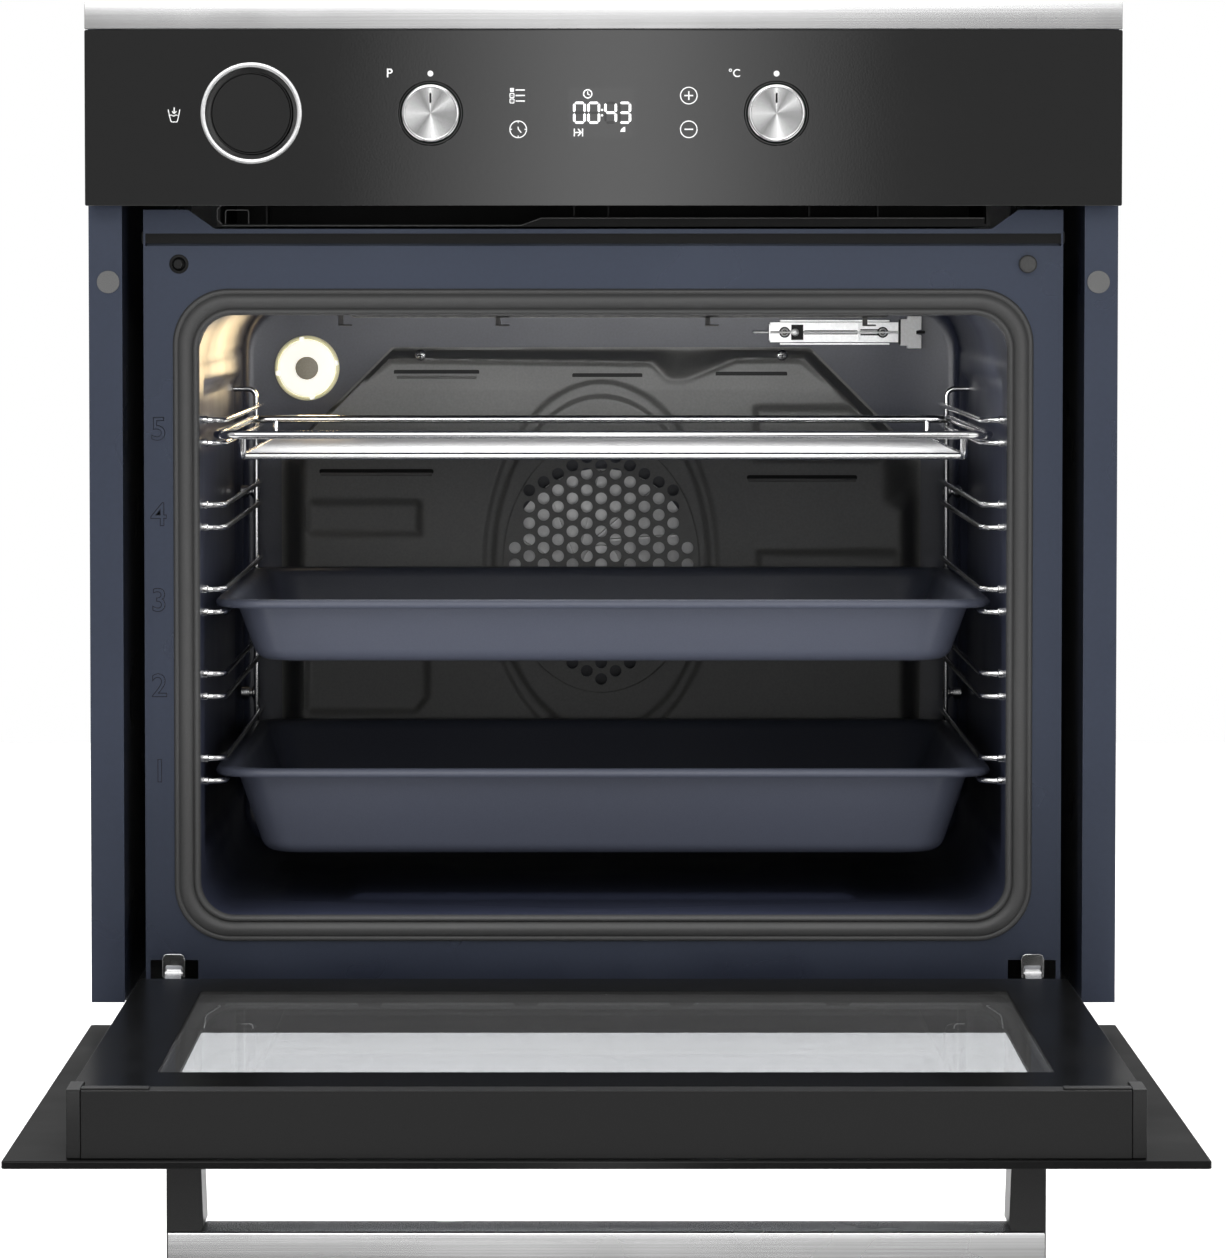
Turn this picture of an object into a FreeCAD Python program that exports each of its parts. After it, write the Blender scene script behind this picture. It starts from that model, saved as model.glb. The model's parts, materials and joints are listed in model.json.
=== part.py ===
import FreeCAD, Part
import math
import os

import Sketcher

# Built-in wall oven with its drop-down door open.
#
# Every piece is drawn from the oven's front datum: X = 0 in the middle plane, +Y into the
# oven from the face of the control panel, +Z up from the lowest line of the front.
# The placement of each sub-part then carries it to the origin of the whole oven, the
# middle of the underside of the base panel. Millimetres.

DIMENSIONS = [
    ("datum_depth", 298.0, "front face to the middle of the base"),
    ("front_width", 595.0, "control panel and door glass"),
    ("front_top", 595.0, "top of the front"),
    ("panel_low", 478.3, "lower edge of the control panel"),
    ("trim_low", 579.2, "lower edge of the steel trim"),
    ("carrier_back", 20.5, "rear edge of the panel carrier"),
    ("glass_thick", 4.0, "every pane"),
    ("display_height", 531.3, "knob and display axis"),
    ("knob_offset", 99.2, "knob axis from the middle"),
    ("knob_diameter", 33.3, "knob cap"),
    ("knob_well", 36.9, "hole round a knob cap"),
    ("collar_bore", 34.7, "inside of the collar round a knob"),
    ("knob_travel", 14.0, "pop-out stroke of a knob"),
    ("shaft_diameter", 6.0, "knob shaft"),
    ("filler_offset", 202.0, "water filler axis from the middle"),
    ("filler_diameter", 46.8, "face of the filler cup"),
    ("filler_well", 52.5, "inside of the filler ring"),
    ("filler_rim", 58.3, "outside of the filler ring"),
    ("case_width", 558.0, "body that goes into the cabinet"),
    ("case_front", 21.0, "front face of the side flanges"),
    ("case_back", 566.0, "outside of the rear cover"),
    ("case_top", 590.0, "outside of the top cover"),
    ("base_low", 16.0, "underside of the base"),
    ("base_front", 30.0, "front edge of the base"),
    ("case_sheet", 0.8, "casing sheet"),
    ("screw_offset", 286.2, "cabinet screws from the middle"),
    ("screw_height", 434.6, "cabinet screws"),
    ("screw_hole", 5.5, "cabinet screw hole"),
    ("frame_front", 43.0, "front face of the enamelled front frame"),
    ("frame_width", 535.4, "front frame"),
    ("frame_sheet", 1.2, "front frame sheet"),
    ("groove_low", 455.5, "lower edge of the groove over the door opening"),
    ("groove_high", 462.8, "upper edge of that groove"),
    ("frame_top", 476.5, "top of the front frame"),
    ("opening_width", 472.0, "cavity opening"),
    ("opening_low", 63.8, "bottom of the cavity opening"),
    ("opening_high", 416.0, "top of the cavity opening"),
    ("opening_radius", 20.0, "corners of the opening"),
    ("gasket_width", 14.7, "width of the seal round the opening"),
    ("gasket_front", 37.6, "front of the seal"),
    ("liner_high", 424.0, "cavity ceiling"),
    ("liner_back", 455.0, "cavity rear wall"),
    ("liner_sheet", 0.8, "cavity sheet"),
    ("liner_round", 34.0, "upper corners of the cavity"),
    ("fan_height", 248.8, "axis of the convection fan"),
    ("cover_front", 430.0, "front face of the fan cover"),
    ("cover_width", 422.0, "fan cover"),
    ("cover_high", 391.0, "top of the fan cover"),
    ("cover_low", 75.0, "bottom of the fan cover"),
    ("rail_low", 141.7, "lower wire of the lowest level"),
    ("rail_pitch", 49.65, "from one level to the next"),
    ("rail_gap", 13.4, "lower to upper wire of a level"),
    ("rail_wire", 3.4, "wire of the side racks"),
    ("rail_offset", 222.0, "rails from the middle"),
    ("tray_width", 458.0, "outside of the tray rims"),
    ("tray_front", 50.0, "front of the tray rims"),
    ("tray_back", 410.0, "back of the tray rims"),
    ("tray_sheet", 1.2, "tray sheet"),
    ("tray_depth", 38.0, "baking tray"),
    ("deep_tray_depth", 53.0, "deep tray"),
    ("hinge_centre", 8.0, "door pivot behind the front and above its lowest line"),
    ("hinge_offset", 251.0, "middle of a hinge from the middle plane"),
    ("hinge_pin", 4.4, "hinge pin"),
    ("running_gap", 0.05, "radial clearance of turning shafts"),
    ("door_near", 460.0, "free edge of the open door in front of the datum"),
    ("door_far", 14.0, "hinged edge of the door glass behind the datum"),
    ("door_inner", 37.0, "inner face of the open door"),
    ("door_inner_width", 530.0, "inner pane"),
    ("column_width", 28.0, "door side column"),
    ("handle_width", 437.4, "handle"),
    ("handle_drop", 36.3, "glass to handle bar"),
    ("handle_thick", 15.7, "handle bar"),
    ("handle_front", 430.0, "front of the handle bar"),
    ("handle_height", 32.0, "handle bar across"),
]


class Size:
    """A length together with the sheet expression that gives it."""

    def __init__(self, number, text=None):
        self.number = float(number)
        self.text = text if text is not None else repr(round(float(number), 6))

    def __add__(self, other):
        other = as_size(other)
        return Size(self.number + other.number, f"({self.text} + {other.text})")

    def __sub__(self, other):
        other = as_size(other)
        return Size(self.number - other.number, f"({self.text} - {other.text})")

    def __mul__(self, other):
        other = as_size(other)
        return Size(self.number * other.number, f"({self.text} * {other.text})")

    def __truediv__(self, other):
        other = as_size(other)
        return Size(self.number / other.number, f"({self.text} / {other.text})")

    def __radd__(self, other):
        return as_size(other) + self

    def __rsub__(self, other):
        return as_size(other) - self

    def __rmul__(self, other):
        return as_size(other) * self

    def __neg__(self):
        return as_size(0) - self


def as_size(value):
    return value if isinstance(value, Size) else Size(value)


class Sizes:
    """The driving dimensions by name."""


doc = FreeCAD.newDocument("WallOven")
sheet = doc.addObject("Spreadsheet::Sheet", "Dims")
d = Sizes()
for row, (alias, value, note) in enumerate(DIMENSIONS, start=1):
    sheet.set(f"A{row}", alias)
    sheet.set(f"B{row}", str(value))
    sheet.set(f"C{row}", note)
    sheet.setAlias(f"B{row}", alias)
    setattr(d, alias, Size(value, f"Dims.{alias}"))
doc.recompute()

pieces = []
SIDES = (-1, 1)
SIDE_NAMES = {-1: "left", 1: "right"}
ROUND_AXES = {
    "X": FreeCAD.Rotation(FreeCAD.Vector(0, 1, 0), 90),
    "Y": FreeCAD.Rotation(FreeCAD.Vector(1, 0, 0), -90),
    "Z": FreeCAD.Rotation(),
}


# ---------------------------------------------------------------- building blocks


def finish(feature, label):
    """Label a finished sub-part, move it to the oven's origin and list it for export."""
    feature.Label = label
    feature.setExpression("Placement.Base.y", "0 - Dims.datum_depth")
    feature.setExpression("Placement.Base.z", "0 - Dims.base_low")
    pieces.append(feature)
    return feature


def bind(feature, **lengths):
    for name, value in lengths.items():
        value = as_size(value)
        setattr(feature, name, value.number)
        feature.setExpression(name, value.text)


def locate(feature, x, y, z, rotation=None):
    corner = [as_size(v) for v in (x, y, z)]
    feature.Placement = FreeCAD.Placement(
        FreeCAD.Vector(*[c.number for c in corner]), rotation or FreeCAD.Rotation()
    )
    for letter, value in zip("xyz", corner):
        feature.setExpression(f"Placement.Base.{letter}", value.text)
    return feature


def box(name, x, y, z):
    """Block between the (low, high) pairs x, y and z."""
    solid = doc.addObject("Part::Box", name)
    bind(solid, Length=x[1] - as_size(x[0]), Width=y[1] - as_size(y[0]), Height=z[1] - as_size(z[0]))
    return locate(solid, x[0], y[0], z[0])


def rod(name, axis, diameter, start, length):
    """Round bar of a diameter along an axis from its start point."""
    solid = doc.addObject("Part::Cylinder", name)
    bind(solid, Radius=as_size(diameter) / 2, Height=length)
    return locate(solid, *start, rotation=ROUND_AXES[axis])


def fuse(name, *solids):
    result = doc.addObject("Part::MultiFuse", name)
    result.Shapes = list(solids)
    return result


def cut(name, base, *tools):
    result = doc.addObject("Part::Cut", name)
    result.Base = base
    result.Tool = tools[0] if len(tools) == 1 else fuse(f"{name}_tools", *tools)
    return result


def group(name, *solids):
    """Sub-part of one solid, or of identical pieces kept as separate solids."""
    result = doc.addObject("Part::Compound", name)
    result.Links = list(solids)
    return result


def made(name, shape):
    """A sub-part or tool whose shape is worked out with Part's own functions."""
    feature = doc.addObject("Part::Feature", name)
    feature.Shape = shape
    return feature


def new_body(name):
    return doc.addObject("PartDesign::Body", name)


def sketch(body, name, plane, offset=0):
    """Sketch on one of the body's own origin planes, moved along that plane's axis."""
    origin_plane = next(f for f in body.Origin.OriginFeatures if f.Role == plane)
    result = body.newObject("Sketcher::SketchObject", name)
    result.AttachmentSupport = [(origin_plane, "")]
    result.MapMode = "FlatFace"
    shift = -as_size(offset) if plane == "XZ_Plane" else as_size(offset)
    result.setExpression(".AttachmentOffset.Base.z", shift.text)
    return result


def outline(target, points):
    """Closed outline whose every corner is held by two bound distances from the origin."""
    corners = [(as_size(a), as_size(b)) for a, b in points]
    first = target.GeometryCount
    count = len(corners)
    for i in range(count):
        (a, b), (e, f) = corners[i], corners[(i + 1) % count]
        target.addGeometry(
            Part.LineSegment(FreeCAD.Vector(a.number, b.number, 0), FreeCAD.Vector(e.number, f.number, 0))
        )
    for i in range(count):
        target.addConstraint(Sketcher.Constraint("Coincident", first + i, 2, first + (i + 1) % count, 1))
    for i, corner in enumerate(corners):
        for kind, value in zip(("DistanceX", "DistanceY"), corner):
            index = target.addConstraint(Sketcher.Constraint(kind, -1, 1, first + i, 1, value.number))
            name = f"{kind}_{first + i}"
            target.renameConstraint(index, name)
            target.setExpression(f"Constraints.{name}", value.text)


def rectangle(target, x, y):
    outline(target, [(x[0], y[0]), (x[1], y[0]), (x[1], y[1]), (x[0], y[1])])


def circle(target, x, y, diameter):
    x, y, radius = as_size(x), as_size(y), as_size(diameter) / 2
    index = target.addGeometry(
        Part.Circle(FreeCAD.Vector(x.number, y.number, 0), FreeCAD.Vector(0, 0, 1), radius.number)
    )
    held = (
        ("CentreX", Sketcher.Constraint("DistanceX", -1, 1, index, 3, x.number), x),
        ("CentreY", Sketcher.Constraint("DistanceY", -1, 1, index, 3, y.number), y),
        ("Radius", Sketcher.Constraint("Radius", index, radius.number), radius),
    )
    for kind, constraint, value in held:
        number = target.addConstraint(constraint)
        name = f"{kind}_{index}"
        target.renameConstraint(number, name)
        target.setExpression(f"Constraints.{name}", value.text)


def faces_front(profile):
    """True for a sketch on the XZ plane, whose own normal is -Y."""
    return profile.AttachmentSupport[0][0].Role == "XZ_Plane"


def pad(body, name, profile, length):
    """Pad from the sketch towards +X, +Y or +Z."""
    feature = body.newObject("PartDesign::Pad", name)
    feature.Profile = profile
    feature.Reversed = faces_front(profile)
    bind(feature, Length=length)
    doc.recompute()
    return feature


def pocket(body, name, profile, length):
    """Pocket from the sketch towards -X, -Y or -Z; it has to take material away."""
    before = body.Shape.Volume
    feature = body.newObject("PartDesign::Pocket", name)
    feature.Profile = profile
    feature.Reversed = faces_front(profile)
    bind(feature, Length=length)
    doc.recompute()
    if not body.Shape.Volume < before - 0.01:
        raise RuntimeError(f"{name} cuts nothing")
    return feature


def round_edges(body, name, radius, chosen):
    """Fillet the edges of the body's tip that the test picks."""
    tip = body.Tip
    names = [f"Edge{i}" for i, edge in enumerate(tip.Shape.Edges, start=1) if chosen(edge)]
    if not names:
        raise RuntimeError(f"{name} finds no edge")
    feature = body.newObject("PartDesign::Fillet", name)
    feature.Base = (tip, names)
    bind(feature, Radius=radius)
    doc.recompute()
    return feature


def runs_along(edge, axis):
    """True for a straight edge along X, Y or Z."""
    if not isinstance(edge.Curve, Part.Line):
        return False
    direction = edge.tangentAt(edge.FirstParameter)
    return abs(abs(getattr(direction, axis.lower())) - 1) < 1e-6


def at_corner(edge, x, z):
    """True where an edge along Y passes a corner given as half width and height."""
    middle = edge.CenterOfMass
    return abs(abs(middle.x) - x) < 0.2 and abs(middle.z - z) < 0.2


def slab(name, x, y, z, radius=None, corners=None):
    """Block as a body, its edges along Y rounded at the corners asked for."""
    body = new_body(name)
    profile = sketch(body, f"{name}_face", "XZ_Plane", y[0])
    rectangle(profile, x, z)
    pad(body, f"{name}_depth", profile, y[1] - as_size(y[0]))
    if radius is not None:
        round_edges(body, f"{name}_round", radius, corners or (lambda edge: runs_along(edge, "Y")))
    return body


def vector(x, y, z):
    return FreeCAD.Vector(x, y, z)


def rounded_path(points, radius):
    """Wire through the points with every inner corner rounded, by one radius or by a list."""
    edges = []
    start = points[0]
    radii = radius if isinstance(radius, list) else [radius] * (len(points) - 2)
    for before, corner, after, bend in zip(points, points[1:], points[2:], radii):
        back = (before - corner).normalize()
        ahead = (after - corner).normalize()
        half_turn = (math.pi - back.getAngle(ahead)) / 2
        reach = bend * math.tan(half_turn)
        enter = corner + back * reach
        leave = corner + ahead * reach
        bisector = (back + ahead).normalize()
        middle = corner + bisector * (bend / math.cos(half_turn) - bend)
        edges.append(Part.LineSegment(start, enter).toShape())
        edges.append(Part.Arc(enter, middle, leave).toShape())
        start = leave
    edges.append(Part.LineSegment(start, points[-1]).toShape())
    return Part.Wire(edges)


def tube(path, diameter):
    """Round bar that follows a wire."""
    first = path.OrderedEdges[0]
    begin = first.valueAt(first.FirstParameter)
    heading = first.tangentAt(first.FirstParameter)
    section = Part.Wire(Part.makeCircle(diameter / 2, begin, heading))
    return path.makePipeShell([section], True, False)


def rounded_rectangle(half_width, front, back, radius, height):
    """Rounded rectangle in a level plane, as a closed wire."""
    start = vector(0, front, height)
    corners = [
        start,
        vector(half_width, front, height),
        vector(half_width, back, height),
        vector(-half_width, back, height),
        vector(-half_width, front, height),
        start,
    ]
    return rounded_path(corners, radius)


# ---------------------------------------------------------------- control panel


half_front = d.front_width / 2
filler_x = -d.filler_offset
knob_places = [(side, d.knob_offset * side) for side in SIDES]


def make_control_glass():
    body = new_body("control_glass")
    face = sketch(body, "glass_face", "XZ_Plane")
    rectangle(face, (-half_front, half_front), (d.panel_low, d.trim_low))
    circle(face, filler_x, d.display_height, d.filler_well + 3.5)
    for _, x in knob_places:
        circle(face, x, d.display_height, d.knob_well)
    pad(body, "glass_depth", face, d.glass_thick)
    finish(body, "control_glass")


def make_top_trim():
    body = new_body("top_trim")
    face = sketch(body, "trim_face", "XZ_Plane")
    rectangle(face, (-half_front, half_front), (d.trim_low, d.front_top))
    pad(body, "trim_depth", face, d.carrier_back)
    round_edges(body, "trim_ends", 3, lambda e: at_corner(e, half_front.number, d.front_top.number))
    hollow = sketch(body, "trim_inside", "XZ_Plane", d.carrier_back)
    rectangle(hollow, (1 - half_front, half_front - 1), (d.trim_low + 1, d.front_top - 1))
    pocket(body, "trim_hollow", hollow, d.carrier_back - 1)
    round_edges(
        body,
        "trim_front_edge",
        0.9,
        lambda e: runs_along(e, "X")
        and e.CenterOfMass.y < 0.01
        and e.CenterOfMass.z > d.front_top.number - 0.1,
    )
    finish(body, "top_trim")


def make_panel_carrier():
    body = new_body("panel_carrier")
    plate_back = d.glass_thick + 2
    face = sketch(body, "carrier_face", "XZ_Plane", d.glass_thick)
    rectangle(face, (1.5 - half_front, half_front - 1.5), (d.panel_low + 1, d.trim_low - 1))
    circle(face, filler_x, d.display_height, d.filler_well + 3.5)
    for _, x in knob_places:
        circle(face, x, d.display_height, d.knob_well)
    rectangle(face, (-62, 62), (d.display_height - 20, d.display_height + 20))
    pad(body, "carrier_depth", face, d.carrier_back - d.glass_thick)
    inside = sketch(body, "carrier_inside", "XZ_Plane", d.carrier_back)
    rectangle(inside, (3.5 - half_front, half_front - 3.5), (d.panel_low + 3, d.trim_low - 3))
    pocket(body, "carrier_hollow", inside, d.carrier_back - plate_back)
    finish(body, "panel_carrier")


def make_knob_collars():
    """Flush collars that fill the holes of the glass round the knobs, clipped behind it."""
    collars = []
    plate_back = d.glass_thick + 2
    for side, x in knob_places:
        name = SIDE_NAMES[side]
        tube_part = rod(f"collar_tube_{name}", "Y", d.knob_well - 0.2, (x, 0.1, d.display_height), 8)
        rim = rod(f"collar_rim_{name}", "Y", d.knob_well + 5, (x, plate_back, d.display_height), 1.5)
        bore = rod(f"collar_bore_{name}", "Y", d.collar_bore, (x, -1, d.display_height), 12)
        collars.append(cut(f"collar_{name}", fuse(f"collar_solid_{name}", tube_part, rim), bore))
    finish(group("knob_collars", *collars), "knob_collars")


def make_display_board():
    """Circuit board behind the panel with the display and the touch pads on it."""
    board_front = 26.5
    board = box("board_sheet", (-130, 130), (board_front, board_front + 1.6), (505, 558))
    holes = [
        rod(f"board_hole_{SIDE_NAMES[side]}", "Y", 9, (x, board_front - 1, d.display_height), 4)
        for side, x in knob_places
    ]
    drilled = cut("board_drilled", board, *holes)
    display = box("display_block", (-20, 20), (d.glass_thick, board_front), (516, 547))
    pads = []
    for side in SIDES:
        low, high = sorted((side * 43, side * 54))
        depth = (d.glass_thick, board_front)
        pads.append(box(f"touch_pad_{SIDE_NAMES[side]}", (low, high), depth, (516, 547)))
    finish(fuse("display_board", drilled, display, *pads), "display_board")


def make_encoders():
    blocks = []
    for side, x in knob_places:
        name = SIDE_NAMES[side]
        height = (d.display_height - 12, d.display_height + 12)
        block = box(f"encoder_block_{name}", (x - 12, x + 12), (28.1, 38), height)
        bore = rod(
            f"encoder_bore_{name}", "Y", d.shaft_diameter + 2 * d.running_gap, (x, 27, d.display_height), 12
        )
        blocks.append(cut(f"encoder_{name}", block, bore))
    finish(group("knob_encoders", *blocks), "knob_encoders")


def make_knob(side, x):
    """Flush knob: the shaft turns in its encoder and the cap slides out along the shaft."""
    name = f"knob_{SIDE_NAMES[side]}"
    flat = d.shaft_diameter / 2 - 0.8
    bar = rod(f"{name}_bar", "Y", d.shaft_diameter, (x, 2.5, d.display_height), 35)
    flange = rod(f"{name}_flange", "Y", 8, (x, 25.2, d.display_height), 0.5)
    whole = fuse(f"{name}_bar_flange", bar, flange)
    milling = box(
        f"{name}_milling", (x - 4, x + 4), (2, 24.5), (d.display_height + flat, d.display_height + flat + 3)
    )
    finish(cut(f"{name}_shaft", whole, milling), f"{name}_shaft")

    skirt = rod(f"{name}_skirt", "Y", d.knob_diameter, (x, -1, d.display_height), 20)
    hollow = rod(f"{name}_hollow", "Y", d.knob_diameter - 3, (x, 1.2, d.display_height), 20)
    shell = cut(f"{name}_shell", skirt, hollow)
    hub = rod(f"{name}_hub", "Y", 12, (x, 1, d.display_height), 23.4)
    round_bore = rod(
        f"{name}_round_bore", "Y", d.shaft_diameter + 2 * d.running_gap, (x, 2, d.display_height), 23
    )
    key = box(
        f"{name}_key",
        (x - 4, x + 4),
        (1.8, 24.2),
        (d.display_height + flat + 0.05, d.display_height + flat + 2.5),
    )
    bore = cut(f"{name}_bore", round_bore, key)
    pointer = box(
        f"{name}_pointer", (x - 0.8, x + 0.8), (-2, 0), (d.display_height + 6, d.display_height + 11.4)
    )
    solid = fuse(f"{name}_solid", shell, hub)
    finish(cut(f"{name}_cap", solid, bore, pointer), f"{name}_cap")


def make_filler():
    """Pop-out water filler: bright ring, guide sleeve and sliding cup with a pouring mouth."""
    ring_flange = rod("ring_flange", "Y", d.filler_rim, (filler_x, -0.8, d.display_height), 0.8)
    ring_collar = rod("ring_collar", "Y", d.filler_well + 3, (filler_x, -0.5, d.display_height), 8.5)
    ring_bore = rod("ring_bore", "Y", d.filler_well, (filler_x, -2, d.display_height), 12)
    ring = fuse("ring_solid", ring_flange, ring_collar)
    finish(cut("filler_ring", ring, ring_bore), "filler_ring")

    sleeve_front = 8.2
    sleeve_length = 72
    outer = rod("sleeve_outer", "Y", d.filler_well, (filler_x, sleeve_front, d.display_height), sleeve_length)
    inner = rod("sleeve_inner", "Y", d.filler_diameter + 1, (filler_x, 4, d.display_height), sleeve_length)
    nipple = rod("sleeve_nipple", "Z", 12, (filler_x, 66, d.display_height - 29), 10)
    drain = rod("sleeve_drain", "Z", 8, (filler_x, 66, d.display_height - 32), 20)
    body = fuse("sleeve_body", outer, nipple)
    finish(cut("filler_sleeve", body, inner, drain), "filler_sleeve")

    face = rod("cup_face", "Y", d.filler_diameter, (filler_x, -0.4, d.display_height), 3.4)
    wall = rod("cup_wall", "Y", d.filler_diameter - 2, (filler_x, 2.8, d.display_height), 69)
    room = rod("cup_room", "Y", d.filler_diameter - 6, (filler_x, 3.2, d.display_height), 64)
    mouth = box(
        "cup_mouth", (filler_x - 17, filler_x + 17), (8, 44), (d.display_height + 5, d.display_height + 30)
    )
    outlet = rod("cup_outlet", "Z", 6, (filler_x, 62, d.display_height - 30), 30)
    cup = fuse("cup_solid", face, wall)
    finish(cut("filler_cup", cup, room, mouth, outlet), "filler_cup")


# ---------------------------------------------------------------- casing


half_case = d.case_width / 2


def make_side_panel(side):
    """Folded sheet: the side of the casing with its flange turned out against the cabinet."""
    body = new_body(f"side_panel_{SIDE_NAMES[side]}")
    plan = sketch(body, f"side_plan_{SIDE_NAMES[side]}", "XY_Plane", d.base_low)
    inner = half_case - d.case_sheet
    flange_back = d.case_front + d.case_sheet
    corners = [
        (inner, d.case_front),
        (half_front, d.case_front),
        (half_front, flange_back),
        (half_case, flange_back),
        (half_case, d.case_back),
        (inner, d.case_back),
    ]
    outline(plan, [(x * side, y) for x, y in corners])
    pad(body, f"side_height_{SIDE_NAMES[side]}", plan, d.case_top - d.base_low)
    hole = sketch(body, f"side_hole_{SIDE_NAMES[side]}", "XZ_Plane", flange_back)
    circle(hole, d.screw_offset * side, d.screw_height, d.screw_hole)
    pocket(body, f"side_drill_{SIDE_NAMES[side]}", hole, d.case_sheet * 2)
    finish(body, f"side_panel_{SIDE_NAMES[side]}")


def make_screw_caps():
    caps = []
    for side in SIDES:
        name = SIDE_NAMES[side]
        x = d.screw_offset * side
        head = rod(f"cap_head_{name}", "Y", 13, (x, d.case_front - 1, d.screw_height), 1)
        stub = rod(f"cap_stub_{name}", "Y", d.screw_hole - 0.1, (x, d.case_front - 0.5, d.screw_height), 4)
        caps.append(fuse(f"screw_cap_{name}", head, stub))
    finish(group("cabinet_screw_caps", *caps), "cabinet_screw_caps")


def make_base_panel():
    inner = half_case - d.case_sheet
    floor = box("base_floor", (-inner, inner), (d.base_front, d.case_back), (d.base_low, d.base_low + 1))
    lip = box("base_lip", (3 - half_frame, half_frame - 3), (46, 47.2), (d.base_low + 0.5, d.base_low + 8))
    finish(fuse("base_panel", floor, lip), "base_panel")


def slots(name, count, pitch, x, y, z, axis="x"):
    """A row of equal slots; x, y and z bound the first one."""
    tools = []
    for i in range(count):
        step = i * pitch
        x_range = (x[0] + step, x[1] + step) if axis == "x" else x
        z_range = (z[0] + step, z[1] + step) if axis == "z" else z
        tools.append(box(f"{name}_{i}", x_range, y, z_range))
    return tools


def make_top_cover():
    inner = half_case - d.case_sheet
    back = d.case_back - d.case_sheet
    plate = box("top_sheet", (-inner, inner), (24, back), (d.case_top - 1, d.case_top))
    lip = box("top_lip", (-inner, inner), (24, 25.2), (d.trim_low, d.case_top - 0.5))
    vents = slots("top_vent", 10, 18, (-84, -78), (400, 470), (d.case_top - 3, d.case_top + 2))
    finish(cut("top_cover", fuse("top_solid", plate, lip), *vents), "top_cover")


def make_rear_cover():
    inner = half_case - d.case_sheet
    front = d.case_back - d.case_sheet
    plate = box("rear_sheet", (-inner, inner), (front, d.case_back), (d.base_low + 1, d.case_top))
    cutout = box("terminal_cutout", (-232, -168), (front - 2, d.case_back + 2), (520, 560))
    vents = slots("rear_vent", 6, 14, (-60, 60), (front - 2, d.case_back + 2), (60, 65), axis="z")
    finish(cut("rear_cover", plate, cutout, *vents), "rear_cover")


def make_terminal_block():
    """Mains terminal block, where the supply cord would be connected."""
    back = d.case_back
    block = box("terminal_body", (-231, -169), (back - 24, back), (521, 559))
    wells = slots("terminal_well", 3, 18, (-223, -213), (back - 14, back + 1), (530, 550))
    finish(cut("terminal_block", block, *wells), "terminal_block")


# ---------------------------------------------------------------- front frame and cavity


half_frame = d.frame_width / 2
half_opening = d.opening_width / 2
frame_back = d.frame_front + d.frame_sheet
hinge_slot_low = 25.0
hinge_slot_high = 38.0


def make_front_frame():
    """Enamelled front: panel with the cavity opening, a groove and a strip over the door."""
    body = new_body("front_frame")
    face = sketch(body, "frame_face", "XZ_Plane", d.frame_front)
    rectangle(face, (-half_frame, half_frame), (d.base_low + 1, d.groove_low))
    rectangle(face, (-half_opening, half_opening), (d.opening_low, d.opening_high))
    for side in SIDES:
        low, high = sorted((side * 237.0, side * 265.0))
        rectangle(face, (low, high), (hinge_slot_low, hinge_slot_high))
    circle(face, -247, 445, 8)
    circle(face, 247, 445, 6)
    pad(body, "frame_panel", face, d.frame_sheet)
    corner = (half_opening.number, d.opening_low.number, d.opening_high.number)
    round_edges(
        body,
        "frame_opening_round",
        d.opening_radius,
        lambda e: at_corner(e, corner[0], corner[1]) or at_corner(e, corner[0], corner[2]),
    )
    channel = sketch(body, "frame_channel", "YZ_Plane", -half_frame)
    deep = d.frame_front + 11
    sheet_size = d.frame_sheet
    outline(
        channel,
        [
            (d.frame_front, d.groove_low - sheet_size),
            (deep, d.groove_low - sheet_size),
            (deep, d.groove_high + sheet_size),
            (frame_back, d.groove_high + sheet_size),
            (frame_back, d.frame_top),
            (d.frame_front, d.frame_top),
            (d.frame_front, d.groove_high),
            (deep - sheet_size, d.groove_high),
            (deep - sheet_size, d.groove_low),
            (d.frame_front, d.groove_low),
        ],
    )
    pad(body, "frame_channel_run", channel, d.frame_width)
    cutaway = sketch(body, "frame_cutaway", "XZ_Plane", frame_back)
    low = d.groove_high + 2.6
    outline(cutaway, [(-243, d.frame_top + 1), (-226, low), (226, low), (243, d.frame_top + 1)])
    pocket(body, "frame_outlet", cutaway, d.frame_sheet * 2)
    returns = sketch(body, "frame_returns", "XZ_Plane", d.frame_front)
    for side in SIDES:
        edge_low = half_frame - sheet_size if side > 0 else -half_frame
        edge_high = half_frame if side > 0 else sheet_size - half_frame
        rectangle(returns, (edge_low, edge_high), (d.base_low + 1, d.frame_top))
    pad(body, "frame_return_depth", returns, 16)
    finish(body, "front_frame")


def make_gasket():
    grow = d.gasket_width
    outer = slab(
        "gasket_outer",
        (-half_opening - grow, half_opening + grow),
        (d.gasket_front, d.frame_front),
        (d.opening_low - grow, d.opening_high + grow),
        d.opening_radius + 12,
    )
    inner = slab(
        "gasket_inner",
        (-half_opening - 0.8, half_opening + 0.8),
        (d.gasket_front - 1, d.frame_front + 1),
        (d.opening_low - 0.8, d.opening_high + 0.8),
        d.opening_radius,
    )
    finish(cut("door_gasket", outer, inner), "door_gasket")


lamp_x = -194.0
lamp_z = 377.2
cable_holes = (("grill_left", -30.0, 416.6), ("grill_right", 30.0, 416.6))
ring_radius = 88.0
ring_gap = 14.0


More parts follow.
